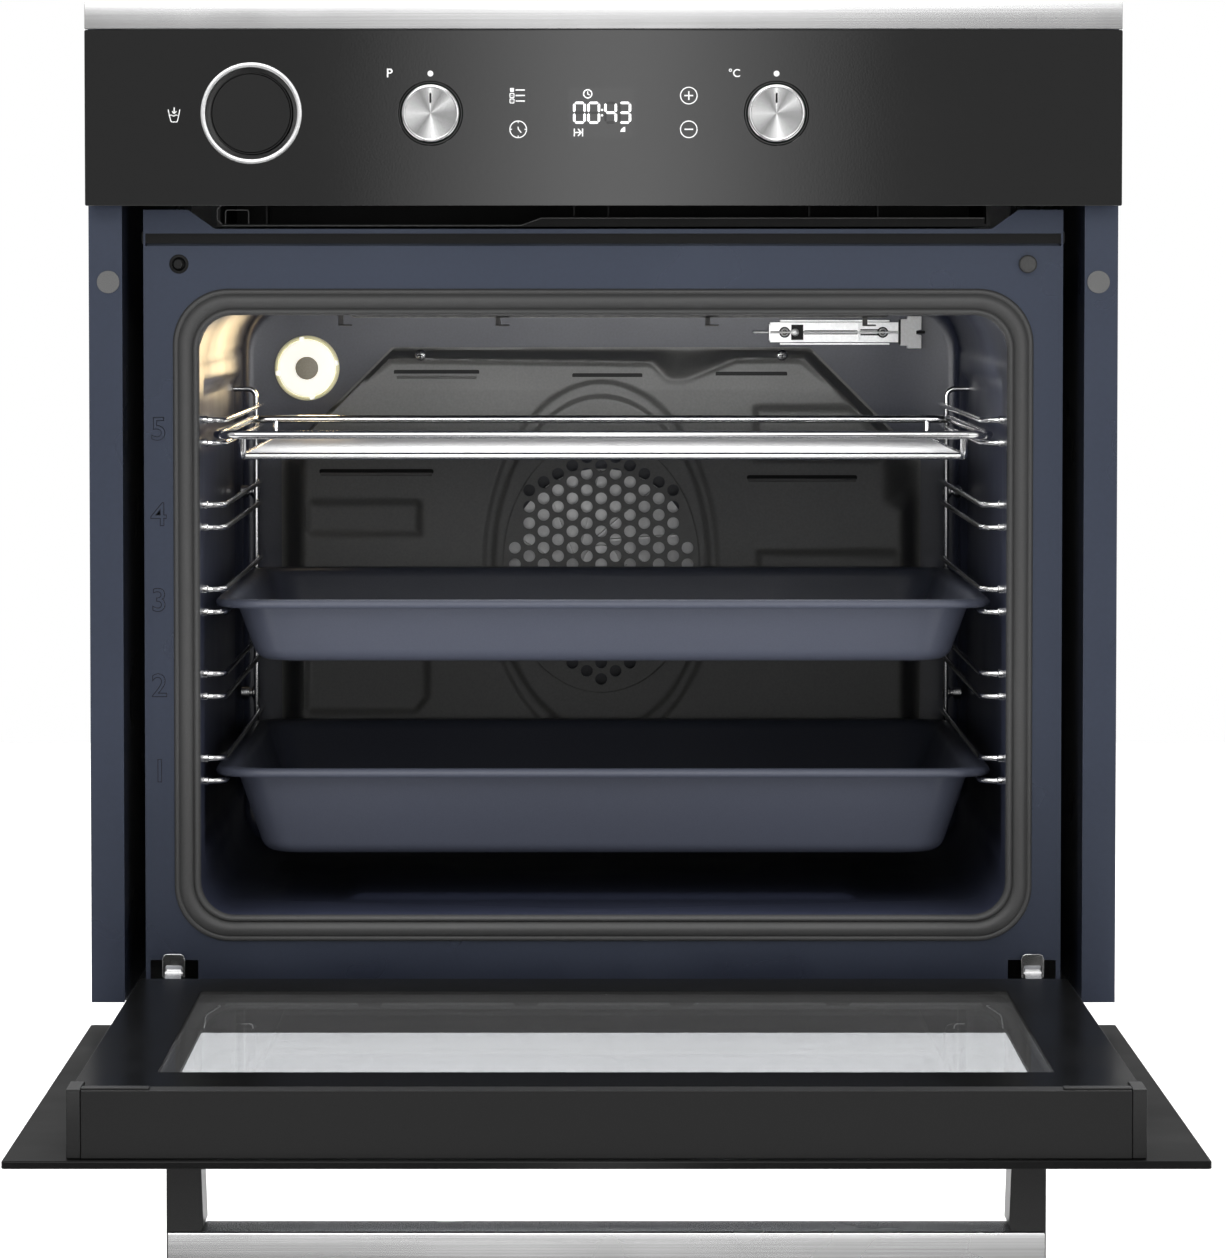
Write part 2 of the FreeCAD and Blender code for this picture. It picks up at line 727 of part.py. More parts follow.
def make_cavity_liner():
    """Enamelled box open to the front, with a flange behind the front frame."""
    grow = d.liner_sheet
    outer = slab(
        "liner_outer",
        (-half_opening - grow, half_opening + grow),
        (frame_back, d.liner_back + grow),
        (d.opening_low - grow, d.liner_high + grow),
        d.liner_round,
        lambda e: at_corner(e, half_opening.number + grow.number, d.liner_high.number + grow.number),
    )
    inner = slab(
        "liner_inner",
        (-half_opening, half_opening),
        (frame_back - 5, d.liner_back),
        (d.opening_low, d.liner_high),
        d.liner_round - grow,
        lambda e: at_corner(e, half_opening.number, d.liner_high.number),
    )
    for block, x in ((outer, half_opening + grow), (inner, half_opening)):
        z = d.opening_low - grow if block is outer else d.opening_low
        round_edges(
            block, f"{block.Name}_floor_round", d.opening_radius, lambda e: at_corner(e, x.number, z.number)
        )
    flange = box(
        "liner_flange",
        (-half_opening - 10, half_opening + 10),
        (frame_back, frame_back + grow),
        (d.opening_low - 10, d.liner_high + 8),
    )
    holes = [rod("lamp_hole", "Y", 41, (lamp_x, d.liner_back - 2, lamp_z), 6)]
    holes.append(rod("shaft_hole", "Y", 16, (0, d.liner_back - 2, d.fan_height), 6))
    for name, x, z in cable_holes:
        holes.append(rod(f"{name}_hole", "Y", 9, (x, d.liner_back - 2, z), 6))
    for side in SIDES:
        x = ring_gap * side / 2
        holes.append(
            rod(f"ring_hole_{SIDE_NAMES[side]}", "Y", 9, (x, d.liner_back - 2, d.fan_height + ring_radius), 6)
        )
    shell = fuse("liner_solid", outer, flange)
    finish(cut("cavity_liner", shell, inner, *holes), "cavity_liner")


def make_insulation():
    """Mineral wool wrapped round the sides, top and bottom of the cavity."""
    outer = slab("wool_outer", (-265, 265), (80, 455), (30, 450), 40)
    inner = slab("wool_inner", (-239, 239), (70, 460), (50, 427), 34)
    finish(cut("insulation", outer, inner), "insulation")


def heater(points, height, diameter=6.5, bend=14):
    return tube(rounded_path([vector(x, y, height) for x, y in points], bend), diameter)


def make_heaters():
    back = d.liner_back.number + 18
    grill = [
        (-30, back), (-30, 130), (-90, 130), (-90, 385), (-147, 385), (-147, 90),
        (167, 90), (167, 385), (90, 385), (90, 130), (30, 130), (30, back),
    ]
    finish(made("grill_element", heater(grill, cable_holes[0][2])), "grill_element")
    base = [
        (-40, back), (-40, 400), (-170, 400), (-170, 110), (-70, 110), (-70, 330),
        (70, 330), (70, 110), (170, 110), (170, 400), (40, 400), (40, back),
    ]
    finish(made("base_element", heater(base, d.opening_low.number - 7.3)), "base_element")


def make_ring_element():
    """Round element about the fan; its two ends go back through the rear wall."""
    centre = vector(0, 444, d.fan_height.number)
    side_count = 12
    turn = 2 * math.pi / side_count
    corner_radius = ring_radius / math.cos(turn / 2)
    high = ring_radius
    right = centre + vector(ring_gap / 2, 0, high)
    left = centre + vector(-ring_gap / 2, 0, high)
    into_wall = vector(0, 28, 0)
    points = [right + into_wall, right]
    for i in range(side_count):
        angle = math.pi / 2 - (i + 0.5) * turn
        points.append(centre + vector(math.cos(angle) * corner_radius, 0, math.sin(angle) * corner_radius))
    points += [left, left + into_wall]
    bends = [6.5] + [52.0] * side_count + [6.5]
    finish(made("ring_element", tube(rounded_path(points, bends), 6.5)), "ring_element")


# ---------------------------------------------------------------- fan, lamp and sensor


def make_fan_cover():
    """Pressed cover over the fan: sloped shoulders, suction holes and hot-air slots."""
    body = new_body("fan_cover")
    half = d.cover_width / 2
    shoulder = 73

    def profile(target, inset):
        outline(
            target,
            [
                (inset - half, d.cover_low + inset),
                (half - inset, d.cover_low + inset),
                (half - inset, d.cover_high - shoulder - inset * 0.41),
                (half - shoulder - inset * 0.41, d.cover_high - inset),
                (shoulder - half + inset * 0.41, d.cover_high - inset),
                (inset - half, d.cover_high - shoulder - inset * 0.41),
            ],
        )

    face = sketch(body, "cover_face", "XZ_Plane", d.cover_front)
    profile(face, 0)
    rear = d.liner_back - 0.5
    pad(body, "cover_depth", face, rear - d.cover_front)
    inside = sketch(body, "cover_inside", "XZ_Plane", rear)
    profile(inside, 1.2)
    pocket(body, "cover_hollow", inside, rear - d.cover_front - 1.2)

    pitch_x = 9.45
    pitch_z = 5.4
    field = sketch(body, "cover_suction", "XZ_Plane", d.cover_front + 1.2)
    for column in range(-6, 7):
        for line in range(-11, 12):
            x, z = column * pitch_x, line * pitch_z
            if (column + line) % 2 == 0 and math.hypot(x, z) < 59:
                circle(field, x, d.fan_height + z, 7.6)
    pocket(body, "cover_holes", field, 2.4)
    slot_face = sketch(body, "cover_slots", "XZ_Plane", d.cover_front + 1.2)
    for low, high in ((-137, -80), (-22, 26), (75, 123)):
        rectangle(slot_face, (low, high), (371.5, 376.5))
    for low, high in ((-185, -110), (96, 169)):
        rectangle(slot_face, (low, high), (306.5, 311.5))
    pocket(body, "cover_slot_cut", slot_face, 2.4)
    holes = sketch(body, "cover_screw_holes", "XZ_Plane", d.cover_front + 1.2)
    for side in SIDES:
        circle(holes, side * 118.5, d.cover_high - 5, 4.2)
    pocket(body, "cover_drill", holes, 2.4)
    finish(body, "fan_cover")


def make_cover_screws():
    screws = []
    for side in SIDES:
        name = SIDE_NAMES[side]
        x, z = side * 118.5, d.cover_high - 5
        head = rod(f"screw_head_{name}", "Y", 7.6, (x, d.cover_front - 2, z), 2)
        shank = rod(f"screw_shank_{name}", "Y", 4, (x, d.cover_front - 0.5, z), d.liner_back - d.cover_front)
        recess = (d.cover_front - 3, d.cover_front - 1.2)
        slot = box(f"screw_slot_{name}", (x - 3, x + 3), recess, (z - 0.5, z + 0.5))
        screws.append(cut(f"screw_{name}", fuse(f"screw_solid_{name}", head, shank), slot))
    finish(group("fan_cover_screws", *screws), "fan_cover_screws")


def make_fan():
    """Fan wheel with bent radial blades on a back plate, on the motor's shaft."""
    axis_point = vector(0, 0, d.fan_height.number)
    heading = vector(0, 1, 0)
    solid = Part.makeCylinder(62, 1.2, axis_point + vector(0, 450, 0), heading)
    solid = solid.fuse(Part.makeCylinder(12, 14, axis_point + vector(0, 436.5, 0), heading))
    blade_count = 10
    for i in range(blade_count):
        blade = Part.makeBox(1.2, 14, 52, vector(-0.6, 436.5, d.fan_height.number + 9))
        blade.rotate(axis_point + vector(0, 0, 62), heading, 14)
        blade.rotate(axis_point, heading, i * 360 / blade_count)
        solid = solid.fuse(blade)
    solid = solid.fuse(Part.makeCylinder(4, 70, axis_point + vector(0, 436, 0), heading))
    finish(made("convection_fan", solid.removeSplitter()), "convection_fan")

    can = rod("motor_can", "Y", 66, (0, 470, d.fan_height), 38)
    plate = box("motor_plate", (-75, 75), (468, 470.5), (d.fan_height - 22, d.fan_height + 22))
    feet = [
        box(f"motor_foot_{SIDE_NAMES[side]}", sorted((side * 65, side * 75)), (d.liner_back + 1.2, 469),
            (d.fan_height - 22, d.fan_height + 22))
        for side in SIDES
    ]
    bore = rod("motor_bore", "Y", 8 + 2 * d.running_gap, (0, 460, d.fan_height), 60)
    finish(cut("fan_motor", fuse("motor_solid", can, plate, *feet), bore), "fan_motor")


def make_lamp():
    rear = d.liner_back + d.liner_sheet
    shell = rod("lamp_shell", "Y", 50, (lamp_x, rear, lamp_z), 42)
    room = rod("lamp_room", "Y", 41, (lamp_x, rear - 1, lamp_z), 40)
    finish(cut("lamp_housing", shell, room), "lamp_housing")

    glass = doc.addObject("Part::Cone", "lamp_dome")
    bind(glass, Radius1=21.4, Radius2=19.0, Height=5.5)
    locate(glass, lamp_x, d.liner_back - 0.4, lamp_z, rotation=FreeCAD.Rotation(vector(1, 0, 0), 90))
    skirt = rod("lamp_skirt", "Y", 39.4, (lamp_x, d.liner_back - 1, lamp_z), 12)
    hollow = rod("lamp_hollow", "Y", 34, (lamp_x, d.liner_back - 4, lamp_z), 16)
    finish(cut("lamp_cover", fuse("lamp_glass_solid", glass, skirt), hollow), "lamp_cover")

    bulb = rod("bulb_glass", "Y", 16, (lamp_x, 460, lamp_z), 22)
    cap = rod("bulb_cap", "Y", 12, (lamp_x, 481, lamp_z), 13)
    finish(fuse("lamp_bulb", bulb, cap), "lamp_bulb")


def make_temperature_sensor():
    """Sensing rod held in a folded bracket with a ceramic end block, high on the rear wall."""
    back = d.liner_back
    plate = box("sensor_plate", (110, 200), (back - 1.5, back), (395, 407))
    rails = [
        box(f"sensor_rail_{i}", (112, 198), (back - 8, back), (low, low + 1.2))
        for i, low in enumerate((395, 405.8))
    ]
    ceramic = box("sensor_ceramic", (199, 212), (back - 12, back), (390.5, 411))
    probe = rod("sensor_probe", "X", 3.2, (98, back - 5, 400.8), 103)
    clip = box("sensor_clip", (120, 126), (back - 8.5, back - 1), (397, 405))
    finish(fuse("temperature_sensor", plate, *rails, ceramic, probe, clip), "temperature_sensor")


# ---------------------------------------------------------------- cooling blower


blower_y = 430.0
blower_z = 512.0
scroll_bore = 72.0
scroll_half = 98.0
scroll_wall = 1.5


def make_blower():
    """Cross-flow blower over the cavity; it blows forward through the flat duct."""
    axis_point = vector(0, blower_y, blower_z)
    heading = vector(1, 0, 0)
    wheel = None
    for x in (-92, 0, 89):
        disc = Part.makeCylinder(30, 3, axis_point + vector(x, 0, 0), heading)
        wheel = disc if wheel is None else wheel.fuse(disc)
    blade_count = 18
    for i in range(blade_count):
        blade = Part.makeBox(184, 1, 7, vector(-92, blower_y - 0.5, blower_z + 22))
        blade.rotate(axis_point + vector(0, 0, 25.5), heading, 30)
        blade.rotate(axis_point, heading, i * 360 / blade_count)
        wheel = wheel.fuse(blade)
    wheel = wheel.fuse(Part.makeCylinder(3, 236, axis_point + vector(-102, 0, 0), heading))
    wheel = wheel.common(Part.makeCylinder(30.5, 260, axis_point + vector(-110, 0, 0), heading))
    finish(made("blower_wheel", wheel.removeSplitter()), "blower_wheel")

    drum = rod("scroll_drum", "X", scroll_bore, (-scroll_half, blower_y, blower_z), 2 * scroll_half)
    shell = rod(
        "scroll_shell",
        "X",
        scroll_bore + 2 * scroll_wall,
        (-scroll_half - scroll_wall, blower_y, blower_z),
        2 * (scroll_half + scroll_wall),
    )
    throat_low, throat_high = 468.3, 498.5
    spout = box(
        "scroll_spout",
        (-scroll_half - scroll_wall, scroll_half + scroll_wall),
        (385, blower_y),
        (throat_low - scroll_wall, throat_high + scroll_wall),
    )
    outlet = box("scroll_outlet", (-scroll_half, scroll_half), (380, blower_y), (throat_low, throat_high))
    inlet = box(
        "scroll_inlet", (-scroll_half, scroll_half), (blower_y - 8, 470), (blower_z + 20, 565)
    )
    journal = rod("scroll_journal", "X", 6 + 2 * d.running_gap, (-110, blower_y, blower_z), 220)
    casing = fuse("scroll_casing", shell, spout)
    finish(cut("blower_housing", casing, drum, outlet, inlet, journal), "blower_housing")

    core = 22
    motor = box(
        "blower_motor_block",
        (106, 132),
        (blower_y - core, blower_y + core),
        (blower_z - core, blower_z + core),
    )
    bore = rod("blower_motor_bore", "X", 6 + 2 * d.running_gap, (100, blower_y, blower_z), 40)
    finish(cut("blower_motor", motor, bore), "blower_motor")


def make_vent_duct():
    """Flat duct from the blower to the outlet over the door."""
    body = new_body("vent_duct")
    low, high = 466.8, 500.0
    plan = sketch(body, "duct_plan", "XY_Plane", low)
    outline(plan, [(-225, 45), (225, 45), (225, 70), (102, 384), (-102, 384), (-225, 70)])
    pad(body, "duct_height", plan, high - low)
    inside = sketch(body, "duct_inside", "XY_Plane", high - 1.5)
    outline(inside, [(-223, 44), (223, 44), (223, 70), (100, 385), (-100, 385), (-223, 70)])
    pocket(body, "duct_hollow", inside, high - low - 3)
    finish(body, "vent_duct")


# ---------------------------------------------------------------- racks, shelf and trays


def level_height(level):
    """Height of the lower wire of a shelf level, counted from 1 at the bottom."""
    return d.rail_low.number + (level - 1) * d.rail_pitch.number


def make_rack(side):
    """Side rack: five pairs of rails on one upright, plugged into the cavity wall in front."""
    wire = d.rail_wire.number
    rail = d.rail_offset.number
    plug_x = half_opening.number - 0.2
    plug_y = 59.0
    upright_x = 225.4
    hook_x = plug_x - 0.4
    top = level_height(5) + 24
    bottom = level_height(1) - 16
    hooks = [vector(hook_x, 414, bottom), vector(upright_x, 414, bottom),
             vector(upright_x, 414, top), vector(hook_x, 414, top)]
    solid = tube(rounded_path(hooks, 4), wire)
    for level in range(1, 6):
        for height in (level_height(level), level_height(level) + d.rail_gap.number):
            run = [vector(plug_x, plug_y, height), vector(rail, plug_y + 1, height),
                   vector(rail, 415, height)]
            solid = solid.fuse(tube(rounded_path(run, 6), wire))
    if side < 0:
        solid = solid.mirror(vector(0, 0, 0), vector(1, 0, 0))
    name = f"rack_{SIDE_NAMES[side]}"
    finish(made(name, solid.removeSplitter()), name)


def make_rack_nuts():
    nuts = []
    for side in SIDES:
        for place, (y, z) in {"upper": (420.7, 297), "lower": (420.7, 165)}.items():
            x = 223.4 * side if side > 0 else -235.6
            nuts.append(rod(f"rack_nut_{SIDE_NAMES[side]}_{place}", "X", 9, (x, y, z), 12.2))
    finish(group("rack_nuts", *nuts), "rack_nuts")


def make_shelf():
    """Wire shelf: heavy outer frame with a sunken grid of fine cross wires."""
    height = level_height(5) + 4.9
    sunk = height - 12.6
    half = d.tray_width.number / 2 - 2.5
    front, back = d.tray_front.number + 2.5, 392.5
    solid = tube(rounded_rectangle(half, front, back, 18, height), 5)
    for x in (-210, -70, 70, 210):
        bearer = [
            vector(x, front, height),
            vector(x, front + 3, sunk),
            vector(x, back - 3, sunk),
            vector(x, back, height),
        ]
        solid = solid.fuse(tube(rounded_path(bearer, 3), 4))
    wire_count = 27
    step = (back - front - 20) / (wire_count - 1)
    for i in range(wire_count):
        y = front + 10 + i * step
        solid = solid.fuse(Part.makeCylinder(1.4, 424, vector(-212, y, sunk), vector(1, 0, 0)))
    finish(made("wire_shelf", solid), "wire_shelf")


def make_tray(name, level, depth):
    """Pressed tray with tapered walls and a rim that rides on the lower rails of its level."""
    sheet_size = d.tray_sheet.number
    low = level_height(level) + 2.3
    high = low + 5.4
    half = d.tray_width.number / 2
    front, back = d.tray_front.number, d.tray_back.number
    floor = high - depth

    def block(half_width, near, far, radius, z_low, z_high):
        wire = rounded_rectangle(half_width, near, far, radius, z_low)
        return Part.Face(wire).extrude(vector(0, 0, z_high - z_low))

    def bowl(shrink, z_low, z_high):
        taper = 15.0
        upper = rounded_rectangle(half - 14 - shrink, front + 13 + shrink, back - 13 - shrink, 26, z_high)
        lower = rounded_rectangle(
            half - 14 - taper - shrink, front + 13 + taper + shrink, back - 13 - taper - shrink, 26, z_low
        )
        return Part.makeLoft([lower, upper], True, True)

    rim = block(half, front, back, 30, low, high)
    under_rim = block(
        half - sheet_size, front + sheet_size, back - sheet_size, 29, low - 1, high - sheet_size
    )
    solid = rim.cut(under_rim).fuse(bowl(0, floor, high))
    solid = solid.cut(bowl(sheet_size, floor + sheet_size, high + 0.001))
    finish(made(name, solid.removeSplitter()), name)


# ---------------------------------------------------------------- door


pivot = d.hinge_centre
door_glass_top = d.glass_thick
inner_low = d.door_inner - d.glass_thick
half_inner = d.door_inner_width / 2
column_outer = half_inner + 1
column_inner = column_outer - d.column_width
cap_front = d.door_near - 4


def make_door_panes():
    body = new_body("door_outer_glass")
    plan = sketch(body, "outer_pane_plan", "XY_Plane")
    rectangle(plan, (-half_front, half_front), (-d.door_near, d.door_far))
    pad(body, "outer_pane_thick", plan, d.glass_thick)
    finish(body, "door_outer_glass")

    body = new_body("door_middle_glass")
    plan = sketch(body, "middle_pane_plan", "XY_Plane", 18)
    rectangle(plan, (-column_inner, column_inner), (8 - cap_front, -36))
    pad(body, "middle_pane_thick", plan, d.glass_thick)
    finish(body, "door_middle_glass")

    body = new_body("door_inner_glass")
    plan = sketch(body, "inner_pane_plan", "XY_Plane", inner_low)
    rectangle(plan, (-half_inner, half_inner), (5 - cap_front, -32))
    pad(body, "inner_pane_thick", plan, d.glass_thick)
    finish(body, "door_inner_glass")


def make_door_columns():
    """Hollow side columns between the outer and the inner pane, open at the hinged end."""
    columns = []
    for side in SIDES:
        name = SIDE_NAMES[side]
        near, far = 4 - cap_front, -14

        def across(inset):
            pair = (column_inner + inset, column_outer - inset)
            return pair if side > 0 else (-pair[1], -pair[0])

        outer = box(f"column_outer_{name}", across(0), (near, far), (door_glass_top, inner_low))
        room = (door_glass_top + 1, inner_low - 1.5)
        inner = box(f"column_room_{name}", across(1.2), (near + 1.5, 0), room)
        body = new_body(f"column_slope_{name}")
        slope = sketch(body, f"column_slope_face_{name}", "YZ_Plane", -300)
        outline(slope, [(-14, 14), (-36, inner_low + 1), (5, inner_low + 1), (5, 14)])
        pad(body, f"column_slope_run_{name}", slope, 600)
        columns.append(cut(f"column_{name}", outer, inner, body))
    finish(group("door_columns", *columns), "door_columns")


def make_door_profiles():
    body = new_body("door_top_profile")
    side_view = sketch(body, "cap_section", "YZ_Plane", -column_outer)
    outline(
        side_view,
        [
            (-cap_front, door_glass_top),
            (3.8 - cap_front, door_glass_top),
            (3.8 - cap_front, d.door_inner + 0.2),
            (14 - cap_front, d.door_inner + 0.2),
            (14 - cap_front, d.door_inner + 1.2),
            (-cap_front, d.door_inner + 1.2),
        ],
    )
    pad(body, "cap_run", side_view, column_outer * 2)
    finish(body, "door_top_profile")

    body = new_body("door_bottom_profile")
    side_view = sketch(body, "foot_section", "YZ_Plane", 0.4 - column_inner)
    outline(
        side_view,
        [
            (-31, door_glass_top),
            (pivot, door_glass_top),
            (pivot, 10),
            (-6, 26),
            (-31, d.door_inner - 1),
        ],
    )
    pad(body, "foot_run", side_view, column_inner * 2 - 0.8)
    finish(body, "door_bottom_profile")


def make_handle():
    half = d.handle_width / 2
    back = d.handle_height - d.handle_front
    body = new_body("handle_bar")
    section = sketch(body, "bar_section", "YZ_Plane", -half)
    rectangle(section, (-d.handle_front, back), (-d.handle_drop - d.handle_thick, -d.handle_drop))
    pad(body, "bar_run", section, d.handle_width)
    round_edges(body, "bar_edges", 1.5, lambda e: runs_along(e, "X"))
    finish(body, "handle_bar")

    legs = []
    for side in SIDES:
        name = SIDE_NAMES[side]
        body = new_body(f"leg_{name}")
        front_view = sketch(body, f"leg_face_{name}", "XZ_Plane", -d.handle_front + 0.5)
        corners = [(half, 0), (half - 17.3, 0), (half - 19, -d.handle_drop), (half, -d.handle_drop)]
        outline(front_view, [(x * side, z) for x, z in corners])
        pad(body, f"leg_depth_{name}", front_view, d.handle_height - 2)
        legs.append(body)
    finish(group("handle_legs", *legs), "handle_legs")


# ---------------------------------------------------------------- hinges


hook_half = 4.7
cheek = 2.4
eye_radius = 3.6


def make_hinge_hooks():
    """Fixed hinge arms: from the pivot up through the slots of the front frame."""
    hooks = []
    for side in SIDES:
        name = SIDE_NAMES[side]
        start = d.hinge_offset * side - hook_half
        body = new_body(f"hook_{name}")
        side_view = sketch(body, f"hook_outline_{name}", "YZ_Plane", start)
        outline(
            side_view,
            [
                (6, 11),
                (10.1, 5.1),
                (45.6, 28.0),
                (52, 28.0),
                (74, 28.0),
                (74, 36.8),
                (46, 36.8),
                (40.4, 35.8),
            ],
        )
        pad(body, f"hook_width_{name}", side_view, hook_half * 2)
        eye = rod(f"hook_eye_{name}", "X", eye_radius * 2, (start, pivot, pivot), hook_half * 2)
        bore = rod(f"hook_bore_{name}", "X", d.hinge_pin, (start - 1, pivot, pivot), hook_half * 2 + 2)
        lever_bore = rod(f"hook_lever_bore_{name}", "X", 2.6, (start - 1, 38.5, 30.6), hook_half * 2 + 2)
        hooks.append(cut(f"hinge_hook_{name}", fuse(f"hook_solid_{name}", body, eye), bore, lever_bore))
    finish(group("hinge_hooks", *hooks), "hinge_hooks")


def make_hinge_pins():
    length = 2 * (hook_half + 0.4 + cheek)
    pins = [
        rod(f"hinge_pin_{SIDE_NAMES[side]}", "X", d.hinge_pin,
            (d.hinge_offset * side - length / 2, pivot, pivot), length)
        for side in SIDES
    ]
    finish(group("hinge_pins", *pins), "hinge_pins")


def make_hinge_bodies():
    """Door halves of the hinges: two cheeks on a floor, inside the side columns."""
    bodies = []
    for side in SIDES:
        name = SIDE_NAMES[side]
        solids = []
        for place, offset in (("low", -hook_half - 0.4 - cheek), ("high", hook_half + 0.4)):
            body = new_body(f"cheek_{name}_{place}")
            plane_x = d.hinge_offset * side + offset
            side_view = sketch(body, f"cheek_outline_{name}_{place}", "YZ_Plane", plane_x)
            outline(
                side_view,
                [
                    (-120, 5.4),
                    (-12, 5.4),
                    (-12, 4.6),
                    (9.6, 4.6),
                    (11.6, 8),
                    (9.6, 11.4),
                    (-12, 14),
                    (-34, 28),
                    (-120, 28),
                ],
            )
            circle(side_view, pivot, pivot, d.hinge_pin + 2 * d.running_gap)
            pad(body, f"cheek_width_{name}_{place}", side_view, cheek)
            solids.append(body)
        x = d.hinge_offset * side
        reach = hook_half + 0.5
        solids.append(box(f"hinge_floor_{name}", (x - reach, x + reach), (-120, -14), (5.4, 7)))
        bodies.append(fuse(f"hinge_body_{name}", *solids))
    finish(group("hinge_bodies", *bodies), "hinge_bodies")


def make_lock_lever(side):
    """U-shaped lever that flips forward over the hook to unhang the door."""
    name = f"lock_lever_{SIDE_NAMES[side]}"
    x = d.hinge_offset * side
    arm = 1.4
    gap = hook_half + 0.4
    body = None
    solids = []
    for place, low in (("low", x - gap - arm), ("high", x + gap)):
        body = new_body(f"{name}_arm_{place}")
        side_view = sketch(body, f"{name}_arm_outline_{place}", "YZ_Plane", low)
        outline(side_view, [(36.2, 28.6), (40.8, 28.6), (40.8, 33), (37.4, 42.4), (33.8, 42.4), (35.2, 36)])
        pad(body, f"{name}_arm_width_{place}", side_view, arm)
        solids.append(body)
    solids.append(box(f"{name}_bridge", (x - gap - 1, x + gap + 1), (34.2, 37.2), (38.4, 42.4)))
    pin_start = (x - gap - 0.5, 38.5, 30.6)
    solids.append(rod(f"{name}_pivot", "X", 2.6 - 2 * d.running_gap, pin_start, gap * 2 + 1))
    finish(fuse(name, *solids), name)


# ---------------------------------------------------------------- door switch and buffer


def make_door_switch():
    body = box("switch_block", (-255, -239), (45, 68), (437, 453))
    bore = rod("switch_bore", "Y", 5 + 2 * d.running_gap, (-247, 40, 445), 26)
    finish(cut("door_switch", body, bore), "door_switch")
    pin = rod("plunger_pin", "Y", 5, (-247, d.gasket_front, 445), 22)
    finish(group("switch_plunger", pin), "switch_plunger")
    head = rod("buffer_head", "Y", 10.4, (247, d.gasket_front, 445), d.frame_front - d.gasket_front)
    stub = rod("buffer_stub", "Y", 5.8, (247, d.gasket_front + 1, 445), 10)
    finish(fuse("door_bumper", head, stub), "door_bumper")


# ---------------------------------------------------------------- build and write


def build_all():
    make_control_glass()
    make_top_trim()
    make_panel_carrier()
    make_knob_collars()
    make_display_board()
    make_encoders()
    for side, x in knob_places:
        make_knob(side, x)
    make_filler()
    for side in SIDES:
        make_side_panel(side)
    make_screw_caps()
    make_base_panel()
    make_top_cover()
    make_rear_cover()
    make_terminal_block()
    make_front_frame()
    make_gasket()
    make_cavity_liner()
    make_insulation()
    make_heaters()
    make_ring_element()
    make_fan_cover()
    make_cover_screws()
    make_fan()
    make_lamp()
    make_temperature_sensor()
    make_blower()
    make_vent_duct()
    for side in SIDES:
        make_rack(side)
    make_rack_nuts()
    make_shelf()
    make_tray("baking_tray", 3, d.tray_depth.number)
    make_tray("deep_tray", 1, d.deep_tray_depth.number)
    make_door_panes()
    make_door_columns()
    make_door_profiles()
    make_handle()
    make_hinge_hooks()
    make_hinge_pins()
    make_hinge_bodies()
    for side in SIDES:
        make_lock_lever(side)
    make_door_switch()
    doc.recompute()


def check_all():
    for item in doc.Objects:
        if "Invalid" in item.State or "Error" in item.State:
            raise RuntimeError(f"{item.Label} failed: {item.State}")
    for item in pieces:
        if item.Shape.isNull() or not item.Shape.isValid():
            raise RuntimeError(f"{item.Label} has no valid shape")
        if not item.Shape.Solids:
            raise RuntimeError(f"{item.Label} has no solid")


def write_all():
    os.makedirs("parts", exist_ok=True)
    for item in pieces:
        item.Shape.exportStep(os.path.join("parts", f"{item.Label}.step"))


build_all()
check_all()
write_all()
print(f"{len(pieces)} sub-parts written")
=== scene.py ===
import json
import math

import bmesh
import bpy
from mathutils import Matrix, Vector


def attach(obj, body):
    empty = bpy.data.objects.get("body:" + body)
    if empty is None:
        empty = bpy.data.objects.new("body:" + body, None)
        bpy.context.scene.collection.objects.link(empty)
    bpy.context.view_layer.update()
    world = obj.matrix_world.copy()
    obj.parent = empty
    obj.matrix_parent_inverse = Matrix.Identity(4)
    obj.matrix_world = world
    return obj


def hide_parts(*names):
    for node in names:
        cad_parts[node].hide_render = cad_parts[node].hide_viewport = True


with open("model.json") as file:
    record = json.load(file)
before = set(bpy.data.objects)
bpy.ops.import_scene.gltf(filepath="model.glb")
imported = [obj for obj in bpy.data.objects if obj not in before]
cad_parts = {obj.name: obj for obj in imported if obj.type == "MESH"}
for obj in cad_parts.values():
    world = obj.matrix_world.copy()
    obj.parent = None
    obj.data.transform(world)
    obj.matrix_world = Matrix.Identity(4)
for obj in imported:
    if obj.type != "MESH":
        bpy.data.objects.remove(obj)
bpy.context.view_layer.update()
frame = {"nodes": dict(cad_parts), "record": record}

# Lengths are millimetres from the oven's front datum: X = 0 in the middle, +Y into the
# oven from the face of the control panel, +Z up from the lowest line of the front.
# to_row() carries them to the row frame, in metres.
ROW_SHIFT = (0.0, -298.0, -16.0)
NODES = frame["nodes"]
SLOT_OF = {s["node"]: s["material_slot"] for s in frame["record"]["subparts"]}


def to_row(x, y, z):
    return Vector((x + ROW_SHIFT[0], y + ROW_SHIFT[1], z + ROW_SHIFT[2])) / 1000.0


# ---------------------------------------------------------------- places

SIDES = {-1: "left", 1: "right"}
HALF_WIDTH = 297.5
CAVITY_HALF = 236
CAVITY_MIDDLE = 243.9
CAVITY_RISE = 180
CAVITY_MOUTH = 44.2
RAIL_GAP = 13.4
LEVELS = [141.7 + 49.65 * i for i in range(5)]
BUFFER_X, BUFFER_Z = 247, 445


# ---------------------------------------------------------------- materials

M = {}


def blank(name):
    mat = M[name] = bpy.data.materials.new(name)
    mat.use_nodes = True
    return mat, mat.node_tree, mat.node_tree.nodes["Principled BSDF"]


